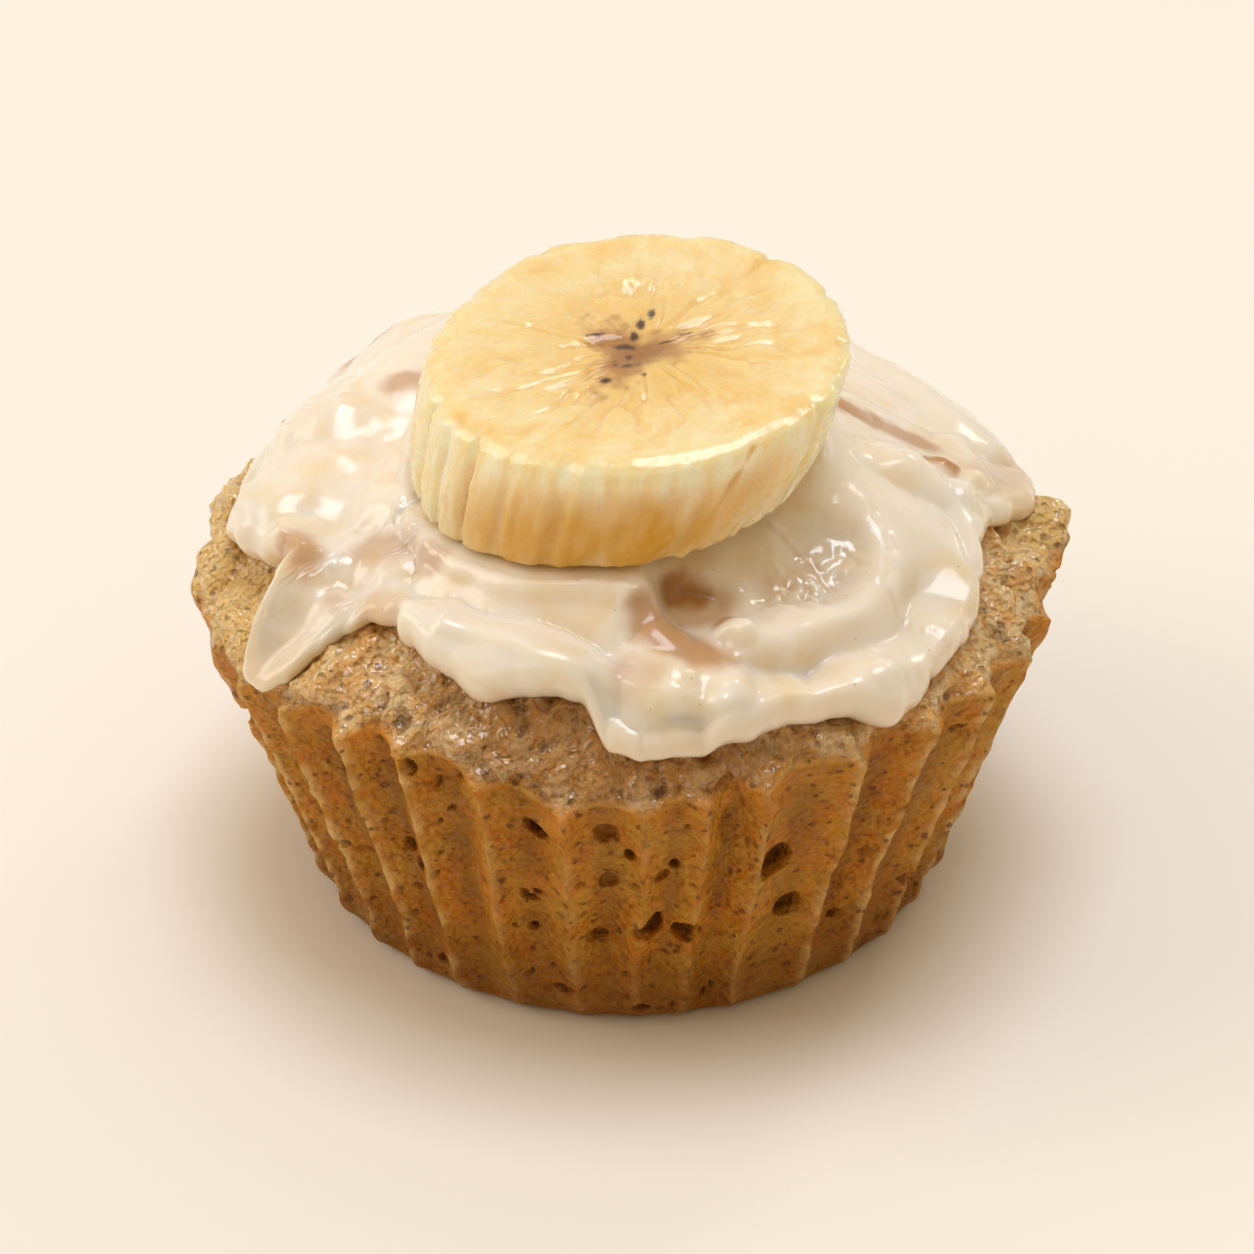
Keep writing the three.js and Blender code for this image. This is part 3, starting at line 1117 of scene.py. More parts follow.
        # The flutes fade towards the foot, on the dome, a little in front, and where lobes hang over them.
        lobed = sum(bump(np.abs(lathed.azimuth - middle), reach, 1.0) for middle, reach in self.overhangs)
        grip = 0.55 * smooth(lathed.height, 0.0, 1.6) + 0.45 * smooth(lathed.height, 1.6, 11.0)
        grip *= smooth(lathed.inward, 2.6, 0.4) * (0.8 + 0.2 * smooth(np.abs(lathed.azimuth), 14.0, 42.0))
        grip *= 1.0 - 0.8 * lobed * smooth(lathed.height, 19.0, self.rim_height)
        worn = 1.0 + 0.28 * unevenness(lathed.places, 5.0, Swell.FLUTE_WEAR)
        valley = np.sin(np.pi * lathed.phase) ** 0.9
        pressed = self.flute_depth * depths * valley * worn + tilts * (lathed.phase - 0.5)
        radius = lathed.radius - grip * pressed

        rim_wave = round_trip(lathed.azimuth, self.rim) + 0.3 * unevenness(flat_ring, 5.5, Swell.RIM_WAVE)
        rim_wave += (rises + 0.35) * np.sin(np.pi * lathed.phase) - 0.2
        lifted = smooth(lathed.height, 10.0, self.rim_height) * smooth(lathed.inward, 7.0, 0.0)
        # A thin lip stands up at the rim, with a shallow ditch behind it.
        lip = 0.35 * np.exp(-((lathed.inward / 0.7) ** 2)) - 0.45 * bump(lathed.inward - 2.1, 1.5)
        lip *= lathed.on_top * (1.0 - 0.9 * lobed)
        height = lathed.height + lifted * rim_wave + lip
        self.piece.put(np.stack([radius * np.sin(turned), -radius * np.cos(turned), height], axis=1))
        crest_away = np.minimum(lathed.phase, 1.0 - lathed.phase) * np.radians(360.0 / self.flutes) * radius
        self.brown(lathed, grip, crest_away, grip * valley**3 * worn)

    def brown(self, lathed: Lathed, grip: np.ndarray, crest_away: np.ndarray, sunken: np.ndarray) -> None:
        """Store how the oven and the cup coloured each place, and where painted highlight and painted shade
        go.

        Args:
            lathed: the vertices on the plain lathed body.
            grip: how far the flutes are pressed in, from 0 to 1.
            crest_away: distance from the nearest crest along the wall.
            sunken: how deep in a flute's valley each vertex lies, from 0 to about 1; it sets the painted
                shade there.
        """
        # A painted highlight runs along the crests, weaker in front than at the sides, and along the rim.
        crest = np.exp(-((crest_away / self.crest_width) ** 2))
        broken = smooth(unevenness(lathed.places, 2.0, Swell.CREST_BREAKS, 2), -0.45, 0.35)
        broken *= 0.3 + 0.7 * smooth(np.abs(lathed.azimuth), 12.0, 40.0)
        rim_highlight = 0.2 * np.exp(-((lathed.inward - 0.2) ** 2) / 0.16) * lathed.on_top
        pale = np.maximum(0.85 * crest * grip * broken, rim_highlight)
        near_rim = smooth(lathed.height, self.rim_height - 4.0, self.rim_height)
        near_rim *= smooth(lathed.inward, 1.4, 0.2)
        toasted = 0.75 * near_rim * smooth(unevenness(lathed.places, 2.6, Swell.TOASTING, 2), -0.25, 0.45)
        # Painted shade: darker towards the foot and deep in the flutes' valleys.
        low = np.maximum(smooth(lathed.height, 15.0, 0.0), 0.75 * sunken) * ~lathed.on_top
        self.piece.paint(Layer.EDGE, np.stack([toasted, pale, low], axis=1))

        # The golden lobes are partly painted light.
        golden = np.zeros(len(lathed.places))
        for lump in self.lumps:
            if any(start < lump.azimuth < end for start, end in self.golden):
                away = np.linalg.norm(lathed.places[:, :2] - plan(lump.azimuth, lump.distance), axis=1)
                golden = np.maximum(golden, bump(away, 1.9 * lump.half_width, 0.7))
        # Painted shade on the front of the top, under the icing's overhang.
        front_shade = bump(np.abs(lathed.azimuth + 2.0), 40.0, 1.0) * lathed.on_top
        shares = [smooth(lathed.inward, 0.0, 1.0), golden * lathed.on_top, front_shade]
        self.piece.paint(Layer.TOP, np.stack(shares, axis=1))

    def raise_lumps(self, lathed: Lathed) -> None:
        """Raise the lumps and the open crumb of the top, and leave the wall slightly uneven.

        Args:
            lathed: the vertices on the plain lathed body.
        """
        places = self.piece.places()
        heights = np.zeros(len(places))
        for lump in (*self.lumps, *self.dents):
            middle = np.array([*plan(lump.azimuth, lump.distance), self.dome_height(lump.distance)])
            heights += lump.rise * bump(np.linalg.norm(places - middle, axis=1), lump.half_width, 1.6)
        shoulder = smooth(lathed.inward, 0.0, 1.6)
        below_rim = smooth(lathed.height, self.rim_height - 5.0, self.rim_height)
        heights *= np.where(lathed.on_top, 0.55 + 0.45 * shoulder, 0.55 * below_rim)
        away = places - np.array([0.0, 0.0, self.bake_centre])
        self.piece.put(places + away / np.linalg.norm(away, axis=1)[:, None] * heights[:, None])

        # Folded swells make round grains with sharp creases between them.
        crumb = 1.5 * np.abs(unevenness(places, 3.4, Swell.CRUMB, 2))
        crumb += 0.6 * np.abs(unevenness(places, 1.5, Swell.CRUMB_SMALL, 2)) - 0.5
        wall = 0.25 * unevenness(lathed.places, 4.2, Swell.WALL, 2)
        wall += 0.2 * unevenness(lathed.places, 1.7, Swell.WALL_SMALL)
        fading = smooth(lathed.height, 0.0, 2.5)
        self.piece.swell(np.where(lathed.on_top, (0.45 + 0.55 * shoulder) * crumb, wall * fading))
        grit = np.where(lathed.on_top, 0.3, 0.12) * unevenness(places, 1.1, Swell.GRIT)
        self.piece.swell(grit * fading)

    def burst_pores(self, lathed: Lathed, pores: Sequence[Pore]) -> None:
        """Sink the pores into the wall and small holes into the crumb, and store the painted shade in them.

        Args:
            lathed: the vertices on the plain lathed body.
            pores: every pore of the wall.
        """
        sunk = np.zeros(len(lathed.places))
        dark = np.zeros(len(lathed.places))
        on_wall = ~lathed.on_top
        rough = 1.0 + 0.2 * unevenness(lathed.places, 1.4, Swell.PORE_RIMS)
        for pore in pores:
            share = self.wall_distances(lathed.places, pore) * rough
            sunk = np.maximum(sunk, pore.depth * smooth(share, 1.1, 0.78) * on_wall)
            # Deeper pores get darker painted shade.
            shade = min(0.85, 0.3 + 0.4 * pore.depth)
            dark = np.maximum(dark, shade * smooth(share, 1.0, 0.82) * on_wall)
        draw = random.Random(self.seed + 2)
        holes = list(self.holes)
        for _ in range(self.random_holes):
            azimuth, distance = draw.uniform(-180, 180), draw.uniform(*self.hole_reach)
            holes.append((azimuth, distance, 0.3 + 0.5 * draw.random() ** 2))
        for azimuth, distance, half_width in holes:
            away = np.linalg.norm(lathed.places[:, :2] - plan(azimuth, distance), axis=1) * rough
            hollow = smooth(away / half_width, 1.2, 0.5) * lathed.on_top
            sunk = np.maximum(sunk, 1.1 * half_width * hollow)
            dark = np.maximum(dark, 0.4 * hollow)
        self.piece.paint(Layer.PORE, dark)
        # The wall's pores go straight in towards the axis, as its own normals would splay them.
        self.piece.swell(-sunk * lathed.on_top)
        places = self.piece.places()
        outwards = places[:, :2] / np.hypot(places[:, 0], places[:, 1])[:, None].clip(1.0)
        places[:, :2] -= outwards * (sunk * on_wall)[:, None]
        self.piece.put(places)


# ------------------------------------------------------------------------------------------------------------
# The banana slice
# ------------------------------------------------------------------------------------------------------------


@dataclass(frozen=True)
class Sliced:
    """Where each vertex stands on the slice."""

    away: np.ndarray  # plan offset from the slice's middle
    share: np.ndarray  # 0 in the middle, 1 at the side
    level: np.ndarray  # 0 at the lower face, 1 at the upper
    azimuth: np.ndarray  # direction from the middle, in degrees
    on_face: np.ndarray  # true on the upper cut face

    @property
    def flat(self) -> np.ndarray:
        """The offsets as points without height."""
        return np.column_stack([self.away, np.zeros(len(self.away))])


@dataclass
class BananaSlice:
    """One thick slice of peeled banana, lying tipped on the icing.

    The outlines are in each cut face's own plane: azimuth and distance from that face's middle.
    """

    low_middle: tuple[float, float, float] = (-1.7, -7.8, 40.8)
    high_middle: tuple[float, float, float] = (1.0, -8.0, 50.9)
    low_slope: tuple[float, float] = (0.11, 0.08)
    high_slope: tuple[float, float] = (0.125, 0.08)
    low_outline: tuple[tuple[float, float], ...] = (
        (-165, 16.0),
        (-135, 15.9),
        (-108, 15.4),
        (-79, 14.9),
        (-55, 14.5),
        (-31, 13.9),
        (-8, 13.5),
        (12, 14.3),
        (36, 14.8),
        (60, 15.5),
        (90, 15.8),
        (118, 15.0),
        (150, 15.4),
        (175, 15.8),
    )
    high_outline: tuple[tuple[float, float], ...] = (
        (-175, 17.3),
        (-154, 18.3),
        (-133, 17.5),
        (-112, 16.9),
        (-92, 16.3),
        (-70, 15.7),
        (-48, 14.9),
        (-25, 14.6),
        (-2, 15.0),
        (20, 15.5),
        (38, 15.7),
        (58, 16.6),
        (78, 16.2),
        (96, 15.9),
        (117, 16.0),
        (136, 15.8),
        (160, 16.7),
    )
    grooves: tuple[tuple[float, float, float], ...] = (
        # Azimuth, depth and half width of the furrows that the peel left in the side.
        (-106, 0.7, 3.4),
        (-88, 0.4, 2.6),
        (-77, 0.95, 2.4),
        (-64, 0.6, 2.2),
        (-52, 0.7, 2.0),
        (-38, 0.3, 3.0),
        (-20, 0.3, 4.0),
        (2, 0.16, 4.0),
        (20, 0.2, 3.4),
        (56, 0.75, 1.8),
        (66, 0.5, 2.2),
        (84, 0.4, 3.0),
        (112, 0.6, 3.4),
        (138, 0.7, 3.0),
        (166, 0.6, 4.0),
        (-152, 0.7, 3.6),
        (-128, 0.6, 3.4),
    )
    facets: tuple[tuple[float, float, float, float, float], ...] = (
        # Wet dents that catch the light: plan offset, half length, half width, and the direction they run in.
        (-0.6, 9.2, 3.6, 1.5, -8.0),
        (-3.9, 2.4, 3.6, 0.9, 4.0),
        (7.0, -3.6, 2.4, 1.1, -42.0),
        (5.0, 6.6, 2.2, 0.8, 24.0),
        (4.4, 3.2, 1.8, 0.9, 10.0),
        (-6.2, -4.4, 2.4, 0.5, -14.0),
        (0.4, -6.0, 1.6, 0.6, -50.0),
        (9.4, 4.0, 1.4, 0.5, 50.0),
        (-8.6, 5.4, 1.6, 0.6, 30.0),
        (-1.0, -12.4, 3.0, 0.5, 0.0),
        (7.0, -11.0, 2.4, 0.5, 18.0),
        (-8.0, -10.6, 2.2, 0.5, -24.0),
    )
    seeds: tuple[tuple[float, float, float, float], ...] = (
        # Plan offset, half width and half length.
        (0.9, 5.2, 0.4, 1.0),
        (0.1, 3.8, 0.36, 0.9),
        (-0.5, 2.4, 0.3, 0.7),
        (-1.2, 1.1, 0.75, 0.45),
        (-0.8, -0.2, 0.42, 0.5),
        (-0.9, -1.5, 0.6, 0.4),
        (-2.7, -3.3, 0.6, 0.3),
        (0.3, -2.9, 0.28, 0.22),
        (-3.4, 2.9, 1.0, 0.24),
        (2.2, 1.2, 0.9, 0.2),
        (3.6, 1.9, 0.5, 0.16),
    )
    core_middle: tuple[float, float] = (-0.6, 0.2)
    core_radius: float = 3.9
    core_lobe: float = 1.5  # how far the core's three lobes stand out and its waists draw in
    core_turn: float = 24.0
    columns: int = 336
    piece: Piece = field(init=False)

    def middle(self, level: np.ndarray) -> np.ndarray:
        """Middle of the slice at a level, 0 at the lower face and 1 at the upper."""
        return np.outer(1 - level, self.low_middle) + np.outer(level, self.high_middle)

    def radius(self, azimuth: np.ndarray, level: np.ndarray) -> np.ndarray:
        """Distance of the side from the middle, grooves included.

        Args:
            azimuth: direction from the middle, in degrees.
            level: 0 at the lower face and 1 at the upper.

        Returns:
            The distances in millimetres.
        """
        low, high = round_trip(azimuth, self.low_outline), round_trip(azimuth, self.high_outline)
        radius = low + (high - low) * level + 0.5 * np.sin(np.pi * np.clip(level, 0, 1))
        for mark, depth, half_width in self.grooves:
            lean = 2.5 * (level - 0.5) * math.sin(mark)  # the sine only spreads the leans, left and right
            groove = bump(np.abs(from_mark(azimuth, mark + lean)), half_width, 1.3)
            radius -= depth * groove * (0.55 + 0.45 * np.sin(np.pi * np.clip(level, 0, 1)))
        return radius

    def seat(self, places: np.ndarray) -> np.ndarray:
        """Height of the lower face's plane over plan places."""
        away = places[:, :2] - np.array(self.low_middle[:2])
        return self.low_middle[2] + away @ np.array(self.low_slope)

    def outside(self, places: np.ndarray) -> np.ndarray:
        """How far plan places lie outside the lower face's outline; negative under the slice."""
        away = places[:, :2] - np.array(self.low_middle[:2])
        azimuth = azimuths(away[:, 0], away[:, 1])
        return np.hypot(away[:, 0], away[:, 1]) - round_trip(azimuth, self.low_outline)

    def build(self) -> Piece:
        """Spin a plain slice, give it its outline, and work its face, core and side.

        Returns:
            The finished piece, not yet dressed.
        """
        # The plain slice's rings lie close together at the core and at the edges.
        face = 1.0 - np.linspace(0.0, 1.0, 62) ** 0.85
        under = np.linspace(0.0, 0.94, 16)
        levels = [0.0, 0.025, *np.linspace(0.06, 0.93, 30), 0.96, 0.985]
        rounding = [(0.985, 1.0), (0.965, 1.0)]
        section = [(share, 0.0) for share in under] + [(1.0, level) for level in levels] + rounding
        section += [(0.95 * share, 1.0) for share in face]
        section = [(PLAIN_SIZE * across, PLAIN_SIZE * up) for across, up in section]
        self.piece = Piece.spun("banana_slice_cut", section, self.columns)
        plain = self.piece.places() / PLAIN_SIZE
        share, level = np.hypot(plain[:, 0], plain[:, 1]), plain[:, 2]
        azimuth = azimuths(plain[:, 0], plain[:, 1])

        radius = self.radius(azimuth, level)
        ring = np.stack([*plan(azimuth, 15.0).T, 9.5 * level], axis=1)
        radius += smooth(share, 0.8, 1.0) * 0.16 * unevenness(ring * (1, 1, 0.3), 2.2, Swell.SLICE_SIDE, 3)
        # The edges are rounded over about half a millimetre.
        near_high = smooth(level, 0.93, 1.0) * smooth(share, 0.9, 1.0)
        near_low = smooth(level, 0.06, 0.0) * smooth(share, 0.9, 1.0)
        radius -= 0.45 * near_high + 0.55 * near_low
        away = plan(azimuth, radius * share)
        slope = np.outer(1 - level, self.low_slope) + np.outer(level, self.high_slope)
        places = self.middle(level)
        places[:, :2] += away
        places[:, 2] += np.sum(away * slope, axis=1)

        sliced = Sliced(away=away, share=share, level=level, azimuth=azimuth, on_face=level > 0.97)
        places[:, 2] -= 0.3 * near_high - 0.2 * near_low
        places[:, 2] += np.where(sliced.on_face, self.face_relief(sliced), 0.0)
        ragged = smooth(level, 0.2, 0.0) * smooth(share, 0.9, 1.0) * bump(np.abs(azimuth - 42.0), 62.0)
        places[:, 2] += ragged * 0.9 * np.abs(unevenness(ring, 1.3, Swell.SLICE_HEM, 2))
        self.piece.put(places)
        grain = 0.12 * unevenness(ring * (1, 1, 0.35), 1.0, Swell.SLICE_SIDE_SMALL, 3)
        self.piece.swell(smooth(share, 0.85, 1.0) * ~sliced.on_face * grain)
        self.mark_faces(sliced)
        self.mark_side(sliced)
        return self.piece

    def face_relief(self, sliced: Sliced) -> np.ndarray:
        """Height of the upper cut face over its plane.

        Args:
            sliced: where the vertices stand.

        Returns:
            Heights in millimetres.
        """
        flat, share = sliced.flat, sliced.share
        swell = 0.2 * unevenness(flat, 6.0, Swell.FACE, 2) + 0.06 * unevenness(flat, 2.2, Swell.FACE_SMALL, 2)
        # Furrows run outwards from the core, and stop short of the rim.
        spokes = np.stack([*plan(sliced.azimuth, 3.2).T, 2.0 * share], axis=1)
        furrow = np.clip(np.abs(unevenness(spokes, 1.0, Swell.FURROWS, 2)) / 0.16, 0.0, 1.0)
        ring = smooth(share, 0.1, 0.3) * smooth(share, 0.86, 0.62)
        relief = swell - 0.24 * ring * (1.0 - furrow)
        relief += 0.14 * smooth(share, 0.8, 0.95) - 0.35 * bump(share, 0.22)
        wobble = 1.0 + 0.3 * unevenness(flat, 1.1, Swell.FACET_RIMS, 2)
        for across, along, half_length, half_width, turn in self.facets:
            run = np.array([math.cos(math.radians(turn)), math.sin(math.radians(turn))])
            offset = sliced.away - np.array([across, along])
            lengthwise, crosswise = offset @ run, offset @ np.array([-run[1], run[0]])
            spread = np.hypot(lengthwise / half_length, crosswise / half_width) * wobble
            relief += 0.6 * crosswise * bump(spread, 1.0, 1.2)
        return relief

    def mark_faces(self, sliced: Sliced) -> None:
        """Store where the rays, the honey-coloured flesh, the core and the seeds are.

        Args:
            sliced: where the vertices stand.
        """
        turn = np.radians(sliced.azimuth)
        distance = np.linalg.norm(sliced.away, axis=1)
        rays = np.stack([3.8 * np.sin(turn) + 0.06 * distance, 3.8 * np.cos(turn), 0.2 * distance], axis=1)
        self.piece.paint(Layer.ACROSS, rays)
        inner = bump(sliced.share * (1.0 + 0.25 * unevenness(sliced.flat, 5.0, Swell.HONEY, 2)), 0.8, 1.0)
        self.piece.paint(Layer.INNER, inner * sliced.on_face)

        core_away = sliced.away - np.array(self.core_middle)
        core_azimuth = azimuths(core_away[:, 0], core_away[:, 1])
        lobes = self.core_radius + self.core_lobe * np.cos(np.radians(3.0 * (core_azimuth + self.core_turn)))
        ragged = 1.0 + 0.45 * unevenness(sliced.flat, 1.2, Swell.CORE_RIM, 3)
        core = smooth(np.linalg.norm(core_away, axis=1) / lobes * ragged, 1.3, 0.3)
        self.piece.paint(Layer.CORE, core * np.where(sliced.on_face | (sliced.level < 0.01), 0.9, 0.0))
        seeds = np.zeros(len(distance))
        for across, along, half_width, half_length in self.seeds:
            offset = (sliced.away - np.array([across, along])) / np.array([half_width, half_length])
            seeds = np.maximum(seeds, smooth(np.linalg.norm(offset, axis=1) * ragged**2, 1.2, 0.4))
        self.piece.paint(Layer.SEED, 0.95 * seeds * sliced.on_face)

    def mark_side(self, sliced: Sliced) -> None:
        """Store where the side is, its ochre band, partly painted shade, and where a crack runs up it.

        Args:
            sliced: where the vertices stand.
        """
        azimuth, level = sliced.azimuth, sliced.level
        beside = smooth(sliced.share, 0.93, 0.985) * smooth(level, 1.0, 0.94)
        crack_away = np.abs(from_mark(azimuth, 33.0 - 14.0 * (1.0 - level)))
        crack_away += 1.6 * unevenness(np.stack([9 * level] * 3, axis=1), 2.0, Swell.CRACK)
        crack = 0.8 * smooth(crack_away, 1.6, 0.2) * smooth(level, 0.05, 0.3)
        # An ochre band below half height, in front and more weakly at the back; in front it is partly painted
        # shade, and painted shade also darkens the side near its foot.
        around = np.stack([*plan(azimuth, 15.0).T, 4.0 * level], axis=1)
        ochre_and_shade = bump(np.abs(azimuth + 6.0), 62.0, 1.0)
        ochre_and_shade += 0.35 * bump(np.abs(np.abs(azimuth) - 140.0), 50.0, 1.0)
        ochre_and_shade *= bump(np.abs(level - 0.36), 0.46, 1.0)
        ochre_and_shade *= 1.3 + 0.8 * unevenness(around, 3.4, Swell.RIPENESS, 3)
        ochre_and_shade += 0.12 * smooth(level, 0.16, 0.0)
        self.piece.paint(Layer.SIDE, np.stack([beside, np.clip(ochre_and_shade, 0.0, 1.0), crack], axis=1))


# ------------------------------------------------------------------------------------------------------------
# The icing
# ------------------------------------------------------------------------------------------------------------


@dataclass(frozen=True)
class Roll:
    """A roll of thicker icing along a plan line, or a furrow where its height is negative."""

    height: float
    half_width: float
    line: tuple[tuple[float, float], ...]
    power: float = 1.4


@dataclass(frozen=True)
class Patch:
    """A place where the crumb's colour comes through: how much of it, and how far the icing rises over it."""

    share: float
    half_width: float
    rise: float
    line: tuple[tuple[float, float], ...]


@dataclass
class Icing:
    """The poured icing: a sheet on the dome with rolls, a swirl, drips and a full round lip."""

    cake: Cake
    slice: BananaSlice
    columns: int = 620
    rings: int = 92
    under_rings: int = 14
    lip_steps: int = 12
    lip_turn: float = 160.0  # degrees that the rounded lip turns through, from its top to below
    sheet: float = 1.35
    lip: float = 1.7
    film: float = 0.14
    edge: tuple[tuple[float, float], ...] = (
        (-172, 31.8),
        (-160, 33.0),
        (-149, 30.4),
        (-137, 31.4),
        (-126, 29.6),
        (-115, 31.2),
        (-105, 31.8),
        (-93, 32.0),
        (-84, 32.2),
        (-75, 31.5),
        (-67, 30.8),
        (-61, 30.6),
        (-58.8, 31.8),
        (-56.4, 35.6),
        (-53, 35.2),
        (-50.6, 34.0),
        (-49.0, 31.4),
        (-47.4, 29.4),
        (-44.5, 28.1),
        (-39.0, 27.8),
        (-35, 29.6),
        (-29, 30.2),
        (-20, 31.4),
        (-13, 30.8),
        (-6.5, 30.5),
        (-2, 32.4),
        (2, 33.2),
        (8, 33.3),
        (14, 33.5),
        (21, 33.2),
        (29, 33.7),
        (35, 35.0),
        (38.5, 34.3),
        (44.6, 33.4),
        (52.8, 32.5),
        (57, 31.9),
        (64, 30.8),
        (71, 29.4),
        (79, 29.2),
        (84, 30.6),
        (91, 32.6),
        (99, 33.2),
        (108, 31.2),
        (120, 32.2),
        (131, 33.6),
        (140, 31.4),
        (152, 30.4),
        (165, 32.8),
        (178, 31.2),
    )
    rolls: tuple[Roll, ...] = (
        # Left hill, its peaks and its drip.
        Roll(
            2.6,
            6.2,
            (
                (-15.0, 15.0), (-17.7, 8.6), (-22.0, 4.0),
                (-25.2, -2.0), (-26.6, -8.0), (-26.2, -12.6),
            ),
        ),
        Roll(0.9, 3.4, ((-24.4, 2.4), (-22.4, 1.8))),
        Roll(0.8, 2.8, ((-18.6, -8.8), (-17.6, -9.8))),
        Roll(0.8, 3.2, ((-26.8, -5.6), (-26.2, -7.0))),
        Roll(1.1, 2.2, ((-26.0, -12.6), (-27.2, -15.6), (-28.2, -17.4), (-30.0, -18.6))),
        Roll(0.5, 1.1, ((-24.4, -10.0), (-25.0, -13.4), (-26.6, -16.4))),
        # Front tongue: ridge with a sharp back, and the bulge below it.
        Roll(
            1.1,
            3.0,
            (
                (-17.4, -20.4), (-12.4, -22.8), (-9.2, -24.4),
                (-4.9, -26.4), (-1.2, -27.9), (2.6, -29.2),
            ),
        ),
        Roll(
            0.6,
            1.1,
            (
                (-12.4, -22.8), (-9.2, -24.4), (-4.9, -26.4),
                (-1.2, -27.9), (2.6, -29.2), (6.6, -29.4),
            ),
        ),
        Roll(2.3, 4.4, ((-15.4, -23.0), (-11.6, -26.0), (-8.6, -27.6), (-5.0, -28.4))),
        Roll(0.4, 0.9, ((-25.0, 0.4), (-27.6, -4.4), (-27.4, -9.4), (-26.0, -13.0)), 1.0),
        Roll(0.35, 0.8, ((-23.4, -9.6), (-23.4, -12.4), (-25.8, -17.4)), 1.0),
        Roll(1.2, 3.4, ((2.6, -29.2), (8.0, -29.8), (13.0, -29.0))),
        Roll(-0.5, 2.6, ((-10.0, -20.4), (-4.0, -22.8), (0.4, -24.6)), 2.0),
        # Outer swirl, its drip, and the inner swirl around the pool.
        Roll(
            1.9,
            4.0,
            (
                (18.2, -4.8), (22.2, -5.5), (25.4, -8.2), (26.6, -12.0),
                (25.4, -17.2), (22.1, -21.8), (16.6, -26.3),
            ),
        ),
        Roll(1.3, 3.2, ((16.6, -26.3), (12.6, -28.6), (8.4, -29.4))),
        Roll(1.0, 2.2, ((19.0, -25.4), (20.4, -27.6))),
        Roll(
            1.7,
            2.5,
            (
                (9.0, -24.4), (12.9, -22.4), (16.8, -19.9),
                (19.0, -16.4), (18.4, -13.0), (16.4, -11.6),
            ),
        ),
        Roll(1.0, 3.4, ((15.8, -7.4), (18.2, -8.4), (20.6, -6.4))),
        # Furrows: the pool, the dark hollow below the slice, and the valley between the two swirls.
        Roll(-0.9, 4.4, ((10.4, -20.0), (13.6, -17.4), (14.8, -14.4)), 2.0),
        Roll(-1.6, 2.6, ((4.2, -21.6), (6.4, -21.0)), 2.0),
        Roll(-0.7, 2.6, ((13.6, -24.6), (18.4, -22.4), (21.8, -18.0), (22.4, -13.6))),
        Roll(-0.9, 3.6, ((-20.6, -15.0), (-17.6, -13.2), (-13.6, -17.0))),
        Roll(-0.5, 2.2, ((-22.6, -10.6), (-20.4, -4.6), (-16.8, -1.0))),
        # Right and back: a thin run with an inner lip, then the spread marks behind.
        Roll(1.1, 2.0, ((25.6, -5.4), (27.2, -2.6), (27.0, 0.6), (25.6, 3.6))),
        Roll(-0.8, 4.0, ((22.4, 2.4), (19.4, 6.0), (15.4, 9.4))),
        Roll(1.2, 3.6, ((28.4, 6.4), (24.0, 13.6), (17.4, 19.6), (9.0, 23.6), (0.0, 25.0), (-9.0, 23.4))),
        Roll(1.3, 3.4, ((-9.0, 23.4), (-15.6, 19.4), (-21.4, 13.4), (-26.0, 7.4))),
        Roll(1.0, 2.6, ((13.0, 11.8), (6.4, 15.4), (-1.6, 16.2), (-8.4, 13.4), (-11.6, 9.4))),
        Roll(-0.5, 2.4, ((14.4, 16.4), (6.4, 19.8), (-2.4, 20.4), (-11.0, 17.6))),
        Roll(1.0, 2.4, ((2.4, 28.4), (-4.0, 30.4))),
        Roll(0.9, 2.4, ((18.4, 24.4), (20.8, 26.8))),
    )
    patches: tuple[Patch, ...] = (
        # Left: the nub with its two small neighbours, the ringed crumb and the one beside it.
        Patch(0.7, 1.7, 1.3, ((-25.2, -12.8), (-24.6, -14.8))),
        Patch(0.45, 1.1, 0.7, ((-22.4, -17.4), (-21.9, -18.0))),
        Patch(0.55, 1.8, 0.9, ((-19.6, -13.7), (-17.6, -14.8))),
        Patch(0.45, 1.3, 0.6, ((-15.4, -16.6), (-14.4, -17.2))),
        Patch(0.35, 1.6, 0.0, ((-19.0, -19.4), (-17.8, -20.2))),
        Patch(0.6, 1.4, 0.0, ((-18.4, 4.2), (-16.8, 5.0))),
        # Front: the long lump, the nub beside it, the hollow under the slice, where the crumb's full colour
        # is painted shade, and a warm spot on the ridge.
        Patch(0.8, 2.0, 1.9, ((1.8, -25.0), (3.6, -26.4), (6.0, -27.4))),
        Patch(0.9, 0.9, 1.4, ((7.3, -23.4), (7.8, -23.7))),
        Patch(1.0, 1.1, -0.6, ((3.4, -20.4), (5.4, -20.6))),
        Patch(0.35, 1.6, 0.0, ((0.0, -28.8), (1.6, -29.6))),
        # Right: the long one beside the slice, the orange nub, and the thin glaze towards the rim.
        Patch(0.85, 1.9, 0.5, ((17.8, 3.2), (21.4, 1.8), (23.4, 1.5))),
        Patch(1.0, 1.0, 1.3, ((24.2, -1.8), (25.8, -2.2))),
        Patch(0.3, 2.4, 0.0, ((29.4, 0.0), (31.4, 3.0))),
        # Back.
        Patch(0.8, 1.8, 0.9, ((-3.0, 22.4), (-6.0, 21.6))),
        Patch(0.7, 1.4, 0.6, ((14.0, 20.6), (15.8, 19.4))),
        Patch(0.8, 1.6, 0.9, ((-21.0, 17.6), (-22.6, 16.2))),
    )
